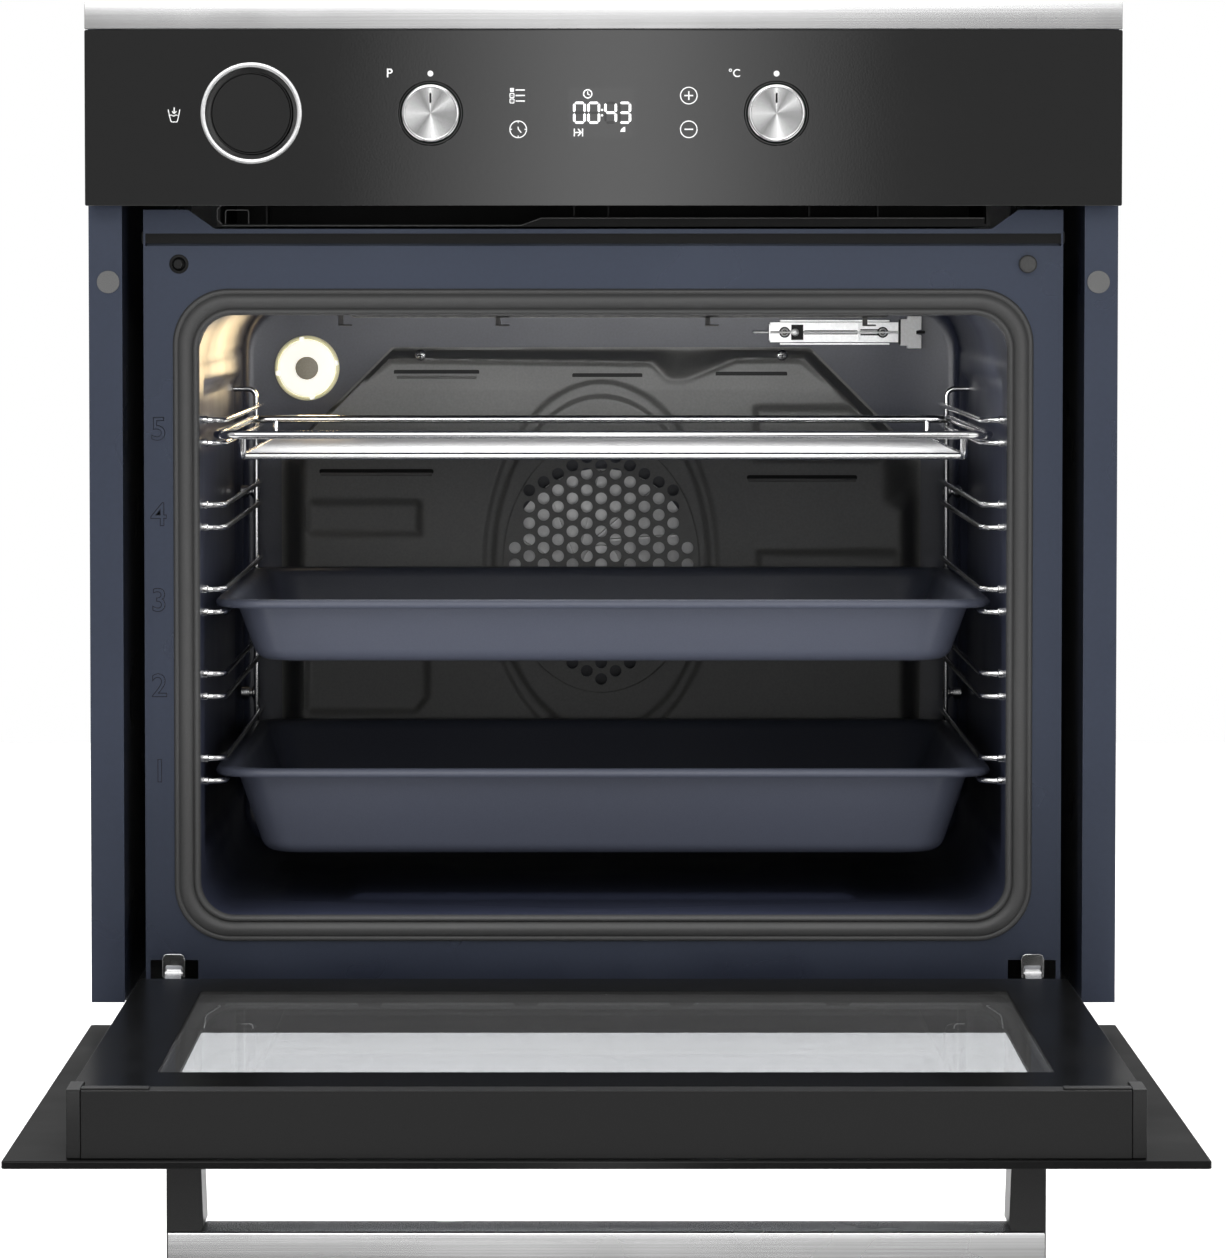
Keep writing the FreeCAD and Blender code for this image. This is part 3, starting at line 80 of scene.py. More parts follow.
def noise_node(tree, scale, stretch=(1, 1, 1), detail=3.0):
    coord = tree.nodes.new("ShaderNodeTexCoord")
    place = tree.nodes.new("ShaderNodeMapping")
    place.inputs["Scale"].default_value = stretch
    noise = tree.nodes.new("ShaderNodeTexNoise")
    noise.inputs["Scale"].default_value = scale
    noise.inputs["Detail"].default_value = detail
    tree.links.new(coord.outputs["Object"], place.inputs["Vector"])
    tree.links.new(place.outputs["Vector"], noise.inputs["Vector"])
    return noise


def ramp_node(tree, factor, *stops):
    ramp = tree.nodes.new("ShaderNodeValToRGB")
    elements = ramp.color_ramp.elements
    while len(elements) < len(stops):
        elements.new(0.5)
    for element, (position, colour) in zip(elements, stops):
        element.position = position
        element.color = (*colour, 1.0)
    tree.links.new(factor, ramp.inputs["Fac"])
    return ramp.outputs["Color"]


def range_node(tree, factor, low, high, start=0.3, stop=0.7):
    spread = tree.nodes.new("ShaderNodeMapRange")
    spread.inputs["From Min"].default_value = start
    spread.inputs["From Max"].default_value = stop
    spread.inputs["To Min"].default_value = low
    spread.inputs["To Max"].default_value = high
    tree.links.new(factor, spread.inputs["Value"])
    return spread.outputs["Result"]


def bump_node(tree, height, strength, distance):
    bump = tree.nodes.new("ShaderNodeBump")
    bump.inputs["Strength"].default_value = strength
    bump.inputs["Distance"].default_value = distance
    tree.links.new(height, bump.inputs["Height"])
    return bump.outputs["Normal"]


def set_sockets(shader, sockets):
    for socket, value in sockets.items():
        shader.inputs[socket].default_value = value


def surface(name, dark, light, rough, sockets=None, grain=900.0, stretch=(1, 1, 1), bump=0.1,
        depth=0.00005, smudge=0.04, smudge_scale=14.0):
    """A finish whose colour, gloss and relief vary finely, with broad smudges in its gloss."""
    mat, tree, shader = blank(name)
    set_sockets(shader, sockets or {})
    fine = noise_node(tree, grain, stretch)
    broad = noise_node(tree, smudge_scale, detail=2.0)
    colour = ramp_node(tree, fine.outputs["Fac"], (0.3, dark), (0.7, light))
    tree.links.new(colour, shader.inputs["Base Color"])
    gloss = range_node(tree, broad.outputs["Fac"], rough - smudge, rough + smudge)
    tree.links.new(gloss, shader.inputs["Roughness"])
    tree.links.new(bump_node(tree, fine.outputs["Fac"], bump, depth), shader.inputs["Normal"])
    return mat


def grey(value, tint=(1.0, 1.0, 1.0)):
    return tuple(value * t for t in tint)


def glow(strength, colour=(1.0, 1.0, 1.0)):
    return {"Emission Color": (*colour, 1.0), "Emission Strength": strength}


METAL = {"Metallic": 1.0}
LOW_SHEEN = {"Specular IOR Level": 0.22}
BLUE = (0.60, 0.72, 1.25)
BLUE_SHEEN = {"Specular Tint": (0.68, 0.78, 1.0, 1.0), "Specular IOR Level": 0.95}

surface("enamel", grey(0.015, BLUE), grey(0.019, BLUE), 0.30, grain=420.0, sockets=BLUE_SHEEN)
surface("galvanised", grey(0.30), grey(0.39, (0.98, 1.0, 1.02)), 0.45, METAL, grain=60.0,
    bump=0.15)
surface("wool", (0.50, 0.46, 0.33), (0.70, 0.66, 0.52), 0.95, grain=700.0, stretch=(1, 1, 4),
    bump=1.0, depth=0.0015)
surface("seal", grey(0.036), grey(0.044), 0.55, grain=1500.0, bump=0.2)
surface("black_glass", grey(0.004), grey(0.006), 0.04, smudge=0.01)
surface("brushed_steel", grey(0.38), grey(0.46), 0.20, METAL, grain=260.0, stretch=(0.02, 6, 6),
    bump=0.06)
surface("black_plastic", grey(0.006), grey(0.009), 0.46, grain=1800.0, bump=0.3,
    sockets=LOW_SHEEN)
surface("board", (0.01, 0.07, 0.03), (0.02, 0.11, 0.05), 0.4, grain=300.0)
surface("chrome", grey(0.78), grey(0.86), 0.16, METAL, smudge=0.05)
surface("grey_plastic", grey(0.075), grey(0.095), 0.5, grain=1500.0)
surface("black_paint", grey(0.004), grey(0.007), 0.5, grain=1500.0, bump=0.3, sockets=LOW_SHEEN)
surface("motor_steel", grey(0.16), grey(0.24), 0.45, METAL, grain=300.0, stretch=(1, 1, 8))
surface("heater", grey(0.10), grey(0.17, (1.0, 0.97, 0.93)), 0.45, METAL, grain=200.0)
surface("dark_enamel", grey(0.105, (1, 1, 0.96)), grey(0.125, (1, 1, 0.96)), 0.40, grain=700.0,
    bump=0.15)
surface("zinc_steel", grey(0.55), grey(0.70), 0.25, METAL, grain=200.0)
surface("steel", grey(0.45), grey(0.60), 0.32, METAL, grain=300.0)
surface("aluminium", grey(0.60), grey(0.72), 0.36, METAL, grain=250.0)
surface("tray_enamel", (0.031, 0.034, 0.047), (0.037, 0.041, 0.056), 0.34, grain=1400.0,
    sockets={"Specular IOR Level": 0.3})


def glass(name, tint, rough=0.02, sockets=None):
    mat, tree, shader = blank(name)
    set_sockets(shader, {"Transmission Weight": 1.0, "IOR": 1.45, **(sockets or {})})
    broad = noise_node(tree, 9.0, detail=2.0)
    colour = ramp_node(tree, broad.outputs["Fac"], (0.3, grey(0.97, tint)), (0.7, tint))
    tree.links.new(colour, shader.inputs["Base Color"])
    tree.links.new(range_node(tree, broad.outputs["Fac"], rough, rough + 0.02),
        shader.inputs["Roughness"])
    return mat


glass("clear_glass", (0.90, 0.93, 0.92))
glass("door_glass", (0.55, 0.56, 0.57))
glass("frosted_glass", (1.0, 0.93, 0.72), rough=0.35, sockets=glow(1.2, (1.0, 0.86, 0.55)))

FLAT_SHEETS = ("side_panel_left", "side_panel_right", "base_panel", "top_cover", "rear_cover")

for node, obj in NODES.items():
    obj.data.materials.clear()
    obj.data.materials.append(M[SLOT_OF[node]])
    if node not in FLAT_SHEETS:
        obj.data.shade_smooth()


# ---------------------------------------------------------------- shapes

class Shape:
    """Vertices and faces in millimetres, gathered piece by piece."""

    def __init__(self):
        self.verts = []
        self.faces = []

    def skin(self, loops, closed=True, caps=(False, False)):
        """Faces between loops that have the same number of points."""
        first = len(self.verts)
        count = len(loops[0])
        for loop in loops:
            self.verts.extend(loop)
        for row in range(len(loops) - 1):
            for i in range(count if closed else count - 1):
                a = first + row * count + i
                b = first + row * count + (i + 1) % count
                self.faces.append((a, b, b + count, a + count))
        if caps[0]:
            self.faces.append(tuple(range(first, first + count))[::-1])
        if caps[1]:
            last = first + (len(loops) - 1) * count
            self.faces.append(tuple(range(last, last + count)))
        return self

    def block(self, x, y, z):
        low = [(x[0], y[0], z[0]), (x[1], y[0], z[0]), (x[1], y[1], z[0]), (x[0], y[1], z[0])]
        high = [(a, b, z[1]) for a, b, _ in low]
        return self.skin([low, high], caps=(True, True))

    def prism(self, outline, axis, span):
        """Outline drawn out along an axis: X takes (y, z), Y takes (x, z), Z takes (x, y)."""
        return self.skin([[placed(axis, t, a, b) for a, b in outline] for t in span],
            caps=(True, True))

    def turned(self, axis, centre, profile, steps=48, caps=(True, True)):
        """Solid of revolution: profile holds (distance along the axis, radius)."""
        loops = []
        for along, radius in profile:
            loop = []
            for i in range(steps):
                angle = 2 * math.pi * i / steps
                a, b = radius * math.cos(angle), radius * math.sin(angle)
                loop.append(tuple(c + v for c, v in zip(centre, placed(axis, along, a, b))))
            loops.append(loop)
        return self.skin(loops, caps=caps)

    def wire(self, points, radius, bend=0.0, sides=10, closed=False):
        """Round wire along a path whose corners are rounded by bend."""
        path = [Vector(p) for p in points]
        if bend:
            path = rounded(path, bend, closed)
        count = len(path)
        normal = None
        loops = []
        for i, point in enumerate(path):
            before = path[i - 1] if i or closed else point
            after = path[(i + 1) % count] if i < count - 1 or closed else point
            tangent = (after - before).normalized()
            if normal is None:
                normal = tangent.orthogonal().normalized()
            normal = (normal - tangent * normal.dot(tangent)).normalized()
            side = tangent.cross(normal)
            loops.append([tuple(point + radius * (math.cos(2 * math.pi * k / sides) * normal
                + math.sin(2 * math.pi * k / sides) * side)) for k in range(sides)])
        if closed:
            loops.append(loops[0])
            return self.skin(loops)
        return self.skin(loops, caps=(True, True))


def placed(axis, along, a, b):
    return {"X": (along, a, b), "Y": (a, along, b), "Z": (a, b, along)}[axis]


def rounded(path, bend, closed=False):
    """The path with short arcs in place of its corners."""
    out = []
    count = len(path)
    for i, corner in enumerate(path):
        if not closed and i in (0, count - 1):
            out.append(corner)
            continue
        back = (path[i - 1] - corner).normalized()
        ahead = (path[(i + 1) % count] - corner).normalized()
        angle = back.angle(ahead)
        if angle > math.pi - 0.02:
            out.append(corner)
            continue
        reach = bend / math.tan(angle / 2)
        start, stop = corner + back * reach, corner + ahead * reach
        centre = corner + (back + ahead).normalized() * (bend / math.sin(angle / 2))
        first, last = (start - centre).normalized(), (stop - centre).normalized()
        steps = 6
        for k in range(steps + 1):
            out.append(centre + first.slerp(last, k / steps) * bend)
    return out


def rounded_loop(x, z, radius, steps=8):
    """Points round a rectangle with rounded corners; radius is one number or one per corner,
    from the lower left, anticlockwise."""
    radii = radius if isinstance(radius, (list, tuple)) else [radius] * 4
    corners = [(x[0], z[0], 1, 1, 180), (x[1], z[0], -1, 1, 270), (x[1], z[1], -1, -1, 0),
        (x[0], z[1], 1, -1, 90)]
    out = []
    for (a, b, sa, sb, begin), r in zip(corners, radii):
        for k in range(steps + 1):
            angle = math.radians(begin + 90 * k / steps)
            out.append((a + sa * r + r * math.cos(angle), b + sb * r + r * math.sin(angle)))
    return out


def circle_loop(x, z, radius, steps=32):
    return [(x + radius * math.cos(2 * math.pi * i / steps), z + radius
        * math.sin(2 * math.pi * i / steps)) for i in range(steps)]


def at_depth(loop, y):
    return [(a, y, b) for a, b in loop]


def at_level(loop, z):
    return [(a, b, z) for a, b in loop]


def plate(loops, thickness, edge=0.0):
    """Mesh of a flat plate in the XY plane of its own: outer loop first, then its holes.
    It lies between z = 0 and z = thickness, with its edges rounded by edge."""
    data = bpy.data.curves.new("plate", "CURVE")
    data.dimensions = "2D"
    data.fill_mode = "BOTH"
    data.extrude = thickness / 2 - edge
    data.bevel_depth = edge
    data.bevel_resolution = 1
    data.offset = -edge
    for loop in loops:
        spline = data.splines.new("POLY")
        spline.points.add(len(loop) - 1)
        for point, (a, b) in zip(spline.points, loop):
            point.co = (a, b, 0.0, 1.0)
        spline.use_cyclic_u = True
    holder = bpy.data.objects.new("plate", data)
    mesh = bpy.data.meshes.new_from_object(holder)
    bpy.data.objects.remove(holder)
    bpy.data.curves.remove(data)
    mesh.transform(Matrix.Translation((0, 0, thickness / 2)))
    return mesh


def lettering(text, size, depth, thin=0.0):
    """Mesh of a plain numeral or symbol lying in its own XY plane, centred on its origin."""
    data = bpy.data.curves.new("lettering", "FONT")
    data.body = text
    data.size = size
    data.extrude = depth / 2
    data.offset = thin
    data.align_x = "CENTER"
    data.align_y = "CENTER"
    holder = bpy.data.objects.new("lettering", data)
    mesh = bpy.data.meshes.new_from_object(holder)
    bpy.data.objects.remove(holder)
    bpy.data.curves.remove(data)
    return mesh


def face_on(mesh, x, y, z):
    """Turns a flat mesh to face the front, its back at depth y."""
    mesh.transform(Matrix(((1, 0, 0, x), (0, 0, -1, y), (0, 1, 0, z), (0, 0, 0, 1))))
    return mesh


def joined(meshes):
    """One mesh from several."""
    verts, faces = [], []
    for mesh in meshes:
        first = len(verts)
        verts.extend(tuple(v.co) for v in mesh.vertices)
        faces.extend(tuple(first + i for i in p.vertices) for p in mesh.polygons)
        bpy.data.meshes.remove(mesh)
    return verts, faces


def thicken(obj, sheet_thickness):
    """Gives a shown skin the thickness of its sheet, in millimetres."""
    sheet = obj.modifiers.new("sheet", "SOLIDIFY")
    sheet.thickness = sheet_thickness / 1000
    sheet.offset = -1.0


def add(name, shape, material, body, replaces=(), angle=38, bevel=0.0):
    """A shown piece from a Shape or from meshes in millimetres, riding on a body."""
    if isinstance(shape, Shape):
        verts, faces = shape.verts, shape.faces
    else:
        verts, faces = joined(shape if isinstance(shape, list) else [shape])
    mesh = bpy.data.meshes.new(name)
    mesh.from_pydata([tuple(to_row(*v)) for v in verts], [], faces)
    mesh.validate()
    work = bmesh.new()
    work.from_mesh(mesh)
    bmesh.ops.remove_doubles(work, verts=work.verts, dist=1e-7)
    bmesh.ops.recalc_face_normals(work, faces=work.faces)
    work.to_mesh(mesh)
    work.free()
    obj = bpy.data.objects.new(name, mesh)
    bpy.context.scene.collection.objects.link(obj)
    mesh.materials.append(M[material])
    if bevel:
        soft = obj.modifiers.new("soft", "BEVEL")
        soft.width = bevel / 1000
        soft.segments = 2
        soft.limit_method = "ANGLE"
        soft.angle_limit = math.radians(40)
        soft.harden_normals = True
    mesh.shade_smooth()
    mesh.set_sharp_from_angle(angle=math.radians(angle))
    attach(obj, body)
    if replaces:
        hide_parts(*replaces)
    return obj


# ---------------------------------------------------------------- cavity

def smooth(value, start, stop):
    t = min(max((value - start) / (stop - start), 0), 1)
    return t * t * (3 - 2 * t)


def plateau(value, low, high, edge):
    """1 between low and high, easing to 0 over edge outside them."""
    return smooth(value, low - edge, low) * (1 - smooth(value, high, high + edge))


def dense(loop, pitch):
    """The loop with points added along its straight runs."""
    out = []
    for i, (a, b) in enumerate(loop):
        e, f = loop[(i + 1) % len(loop)]
        steps = max(1, round(math.hypot(e - a, f - b) / pitch))
        out.extend((a + (e - a) * k / steps, b + (f - b) * k / steps) for k in range(steps))
    return out


def edge_distance(x, y, polygon):
    """Distance to a polygon's nearest edge, negative outside it."""
    inside = False
    nearest = 1e9
    for i, (a, b) in enumerate(polygon):
        e, f = polygon[(i + 1) % len(polygon)]
        if (b > y) != (f > y) and x < (e - a) * (y - b) / (f - b) + a:
            inside = not inside
        u, v = e - a, f - b
        t = min(max(((x - a) * u + (y - b) * v) / (u * u + v * v), 0), 1)
        nearest = min(nearest, math.hypot(x - a - t * u, y - b - t * v))
    return nearest if inside else -nearest


FLOOR_RAISED = [(-154, 123), (154, 123), (168, 298), (94, 313), (81, 246), (-81, 246), (-94, 313),
    (-168, 298)]


def cavity_point(x, y, z):
    """A point of the cavity's wall, with the pressed relief of its sides and floor."""
    side = 1 if x > 0 else -1
    if abs(x) > 235 and 84 < z < 391:
        well = plateau(y, 96, 428, 9) * plateau(z, 100, 369, 7)
        x += side * (4.5 * well + 1.2 * smooth(z, 386.8, 388.6) * smooth(y, 46, 50))
    if z < 64.5:
        z += 3.2 * smooth(edge_distance(x, y, FLOOR_RAISED), 0, 9)
        crease = abs(y - 74.5 - abs(x) * 0.22)
        z -= 1.1 * (1 - smooth(crease, 0, 3)) * (abs(x) < 202)
        z -= (1 - smooth(abs(abs(x) - 200), 0, 2.5)) * plateau(y, 172, 328, 4)
        z += smooth(74.5 + abs(x) * 0.22 - y, 0, 4) * plateau(y, 52, 300, 6)
    return x, y, z


def make_cavity():
    section = dense(rounded_loop((-CAVITY_HALF, CAVITY_HALF), (63.8, 424), [20, 20, 34, 34],
        steps=7), 4.2)
    skin = Shape()
    loops = []
    depths = [CAVITY_MOUTH, 45.5] + [48 + 4 * i for i in range(100)]
    for y in depths:
        loops.append([cavity_point(x, y, z) for x, z in section])
    fillet = 7
    for k in range(1, 6):
        angle = math.pi / 2 * k / 5
        inset = fillet * (1 - math.cos(angle))
        depth = 448 + fillet * math.sin(angle)
        loops.append([(x * (1 - inset / CAVITY_HALF), depth, CAVITY_MIDDLE + (z - CAVITY_MIDDLE)
            * (1 - inset / CAVITY_RISE)) for x, z in section])
    skin.skin(loops, caps=(False, True))
    flange = [[(x * k, CAVITY_MOUTH, CAVITY_MIDDLE + (z - CAVITY_MIDDLE) * m) for x, z in section]
        for k, m in ((1.04, 1.035), (1, 1))]
    skin.skin(flange)
    cavity = add("cavity_interior", skin, "cavity", "chassis", ["cavity_liner"],
        angle=50)
    thicken(cavity, 0.8)


GASKET_SECTION = [(0, 43), (0.3, 40.2), (1.2, 38.9), (2.4, 38.6), (3.3, 39.4), (3.9, 40.4),
    (4.6, 39.4), (6.2, 38), (8.2, 37.6), (10.2, 38.1), (11.8, 39.4), (12.4, 40.3), (13, 39.9),
    (14, 39.8), (15, 40.6), (15.5, 43)]


def make_gasket():
    ring = Shape()
    ring.skin([at_depth(rounded_loop((-235.2 - w, 235.2 + w), (64.6 - w, 415.2 + w), 20 + 0.8 * w,
        steps=14), y) for w, y in GASKET_SECTION])
    add("gasket_ribbed", ring, "seal", "chassis", ["door_gasket"], angle=60)


COVER_OUTER = [(-211, 75), (211, 75), (211, 318), (138, 391), (-138, 391), (-211, 318)]
COVER_INNER = [(-196, 90), (196, 90), (196, 283), (184, 288), (184.5, 333), (132, 384), (88, 384),
    (66, 374.5), (54, 369.5), (44, 370), (33.5, 381.5), (-139, 384), (-193, 335)]
POCKETS = [([(-230, 266), (-117, 266), (-117, 292), (-230, 292)], 4), ([(-230, 149), (-121, 149),
    (-112, 160), (-112, 214), (-230, 214)], 3.6), ([(99, 315), (230, 315), (230, 354), (99, 354)],
    4), ([(101, 205), (230, 205), (230, 259), (101, 259)], 3.6)]
COVER_CUT = 211 + 318  # |x| + z along the two cut upper corners
FAN_Z = 248.8


def cover_depth(x, z):
    """Depth of the fan cover's face, with its sloped walls, pockets and oval groove."""
    out_gap = max(edge_distance(x, z, COVER_OUTER) - 1.5, 0)
    in_gap = edge_distance(x, z, COVER_INNER)
    rise = 1 if in_gap > 0 else out_gap / (out_gap - in_gap + 1e-6)
    y = 453 - 22.6 * smooth(rise, 0, 1)
    if in_gap > 0:
        near = smooth(in_gap, 0, 4)
        for outline, deep in POCKETS:
            y += deep * near * smooth(edge_distance(x, z, outline), 0, 5)
        oval = (math.hypot(x / 73.6, (z - FAN_Z) / 115) - 1) * 85
        y += 2.6 * (1 - smooth(abs(oval), 2, 5))
        y += 0.10 * max(z - 363.5, 0) * near
    return y


def hole_centres():
    """Staggered suction holes in an upright hexagon round the fan's axis."""
    out = []
    for column in range(-6, 7):
        for line in range(-14, 15):
            x, z = column * 9.45, line * 5.4
            reach = 78 - 0.577 * abs(x) if abs(column) < 6 else 14
            if (column + line) % 2 == 0 and abs(z) < reach:
                out.append((x, z))
    return out


def make_fan_cover():
    border = dense(rounded_loop((-211, 211), (75, 391), [14, 14, 0.1, 0.1], steps=6), 2.4)
    outline = []
    for x, z in border:
        over = abs(x) + z - COVER_CUT
        if over > 0:
            x -= math.copysign(over / 2, x)
            z -= over / 2
        outline.append((x, z))
    half_x, half_z = 64, 84
    inner = []
    for x, z in outline:
        angle = math.atan2(z - FAN_Z, x)
        radius = half_x * half_z / math.hypot(half_z * math.cos(angle), half_x * math.sin(angle))
        inner.append((radius * math.cos(angle), FAN_Z + radius * math.sin(angle)))
    rings = 86
    loops = [[(a, 454.4, b) for a, b in outline]]
    for k in range(rings + 1):
        t = k / rings
        loops.append([(a + (e - a) * t, cover_depth(a + (e - a) * t, b + (f - b) * t), b + (f - b)
            * t) for (a, b), (e, f) in zip(outline, inner)])
    shell = Shape().skin(loops)
    cover = add("fan_cover_pressed", shell, "dark_enamel", "chassis",
        ["fan_cover"], angle=50)
    thicken(cover, 0.9)
    rim = [(x, z - FAN_Z) for x, z in inner]
    holes = [circle_loop(x, z, 3.9, steps=20) for x, z in hole_centres()]
    field = face_on(plate([rim] + holes, 0.9), 0, 431.3, FAN_Z)
    add("fan_cover_grille", field, "dark_enamel", "chassis", angle=30)


def make_cover_slots():
    """Louvres and slots of the fan cover: black prisms in their openings as painted shade, under
    short pressed lips.
    """
    slot_shade, lips = Shape(), Shape()
    for low, high, bottom, top in ((-136, -80, 369.6, 376.4), (-19, 27, 371.4, 374.2),
            (75, 122, 372, 375.2)):
        y = cover_depth((low + high) / 2, top) - 0.25
        slot_shade.prism(rounded_loop((low, high), (bottom, top), 0.9, 4), "Y", (y, y + 1.5))
    for low, high, bottom, top in ((-185, -110, 308.3, 311.4), (95.5, 168, 304.4, 307.4)):
        slot_shade.prism(rounded_loop((low, high), (bottom, top), 1.4, 4), "Y", (429.9, 431.5))
        lips.wire([(low + 1, 430.3, bottom - 0.3), (high - 1, 430.3, bottom - 0.3)], 1.1)
    y = cover_depth(-108, 371) - 0.3
    lips.wire([(-134, y, 371.6), (-82, y, 371.6)], 0.9)
    add("fan_cover_slot_shade", slot_shade, "black_paint", "chassis")
    add("fan_cover_lips", lips, "dark_enamel", "chassis")


def tray_loops(low, depth):
    """Loops of a pressed tray from the turned edge of its rim to the middle of its floor."""
    high = low + 5.4
    floor = high - depth + 1.2
    wall = [(0.9, low + 0.3), (0.1, low + 2.4), (0.9, high - 1.1), (2.8, high - 0.1),
        (6, high - 0.1), (9, high - 0.3), (11.6, high - 1.2), (13.4, high - 3.2),
        (14.4, high - 6.5)]
    bend = 9
    foot = 14.4 + 0.28 * (depth - 16) + 2
    for k in range(7):
        angle = math.radians(14 + 76 * k / 6)
        wall.append((foot + bend - bend * math.cos(angle), floor + bend - bend * math.sin(angle)))
    wall += [(foot + 24, floor), (foot + 60, floor)]
    loops = []
    for inset, z in wall:
        radius = max(30 - 0.45 * inset, 17)
        loops.append(at_level(rounded_loop((-229 + inset, 229 - inset), (50 + inset, 410 - inset),
            radius, steps=10), z))
    return loops


def make_tray(name, body, node, level, depth):
    low = LEVELS[level - 1] + 2.3
    tray = Shape().skin(tray_loops(low, depth), caps=(False, True))
    obj = add(name, tray, "tray_enamel", body, [node], angle=60)
    thicken(obj, 1)


def make_shelf():
    """Wire shelf: heavy frame with drawn-in ends and a sunken close-wired grid."""
    height = LEVELS[4] + 4.9
    sunk = height - 12.6
    frame_wire, grid = Shape(), Shape()
    front, back, half = 52.5, 392.5, 226.5
    ring = [(-half, front, height), (half, front, height), (half, back, height),
        (-half, back, height)]
    frame_wire.wire(ring, 2.5, bend=14, sides=14, closed=True)
    for x in (-211, 211):
        bearer = [(x, front + 1, height - 1.5), (x, front + 2.5, sunk), (x, back - 2.5, sunk),
            (x, back - 1, height - 1.5)]
        frame_wire.wire(bearer, 2, bend=4, sides=10)
    for y in (front + 6, back - 6):
        frame_wire.wire([(-212, y, sunk), (212, y, sunk)], 2)
    wires = 27
    step = (back - front - 20) / (wires - 1)
    for i in range(wires):
        y = front + 10 + i * step
        grid.wire([(-211, y, sunk), (211, y, sunk)], 1.4, sides=8)
        if i < wires - 1:
            grid.wire([(-211, y + step / 2, sunk), (211, y + step / 2, sunk)], 1.4, sides=8)
    add("shelf_frame", frame_wire, "chrome", "shelf", ["wire_shelf"], angle=60)
    add("shelf_grid", grid, "satin_chrome", "shelf", angle=60)


surface("cavity", (0.020, 0.024, 0.042), (0.030, 0.034, 0.056), 0.34, grain=700,
    sockets={"Specular IOR Level": 0.7}, bump=0.06)
surface("satin_chrome", grey(0.62), grey(0.70), 0.45, {"Metallic": 0.3}, smudge=0.05)

make_cavity()
make_gasket()
make_fan_cover()
make_cover_slots()
make_tray("baking_tray_pressed", "upper_tray", "baking_tray", 3, 38)
make_tray("deep_tray_pressed", "lower_tray", "deep_tray", 1, 53)
make_shelf()


# ---------------------------------------------------------------- control panel

KNOB_Z = 531.3
KNOBS = {"left": (-99.2, "function_cap"), "right": (99.2, "temperature_cap")}
FILLER_X = -202
PRINT = (-0.12, 0.02)


def stroke(shape, path, width, closed=False, span=PRINT):
    """Flat printed line along a path of (x, z) points on the face of the glass."""
    count = len(path)
    loops = []
    for i in range(count):
        here = Vector(path[i])
        back = here - Vector(path[i - 1]) if i or closed else None
        ahead = Vector(path[(i + 1) % count]) - here if i < count - 1 or closed else None
        back, ahead = back or ahead, ahead or back
        back, ahead = back.normalized(), ahead.normalized()
        along = (back + ahead).normalized()
        side = Vector((-along.y, along.x))
        reach = width / 2 / max(side.dot(Vector((-ahead.y, ahead.x))), 0.5)
        (a, b), (e, f) = here + side * reach, here - side * reach
        loops.append([(a, span[0], b), (e, span[0], f), (e, span[1], f), (a, span[1], b)])
    if closed:
        shape.skin(loops + loops[:1])
    else:
        shape.skin(loops, caps=(True, True))


def filled(shape, outline, span=PRINT):
    shape.prism(outline, "Y", span)


def make_control_glass():
    outer = rounded_loop((-HALF_WIDTH, HALF_WIDTH), (478.3, 579), 1, steps=4)
    holes = [circle_loop(x, KNOB_Z, 18.45, 72) for x, _ in KNOBS.values()]
    holes.append(circle_loop(FILLER_X, KNOB_Z, 28, 80))
    glass_plate = face_on(plate([outer] + holes, 4, 0.35), 0, 4, 0)
    add("control_glass_edged", glass_plate, "panel_glass", "chassis",
        ["control_glass"], angle=12)
    window = Shape()
    filled(window, rounded_loop((-20, 18.4), (516.9, 545.9), 0.3, 2), (-0.02, 0.02))
    add("display_window", window, "display_window", "chassis")


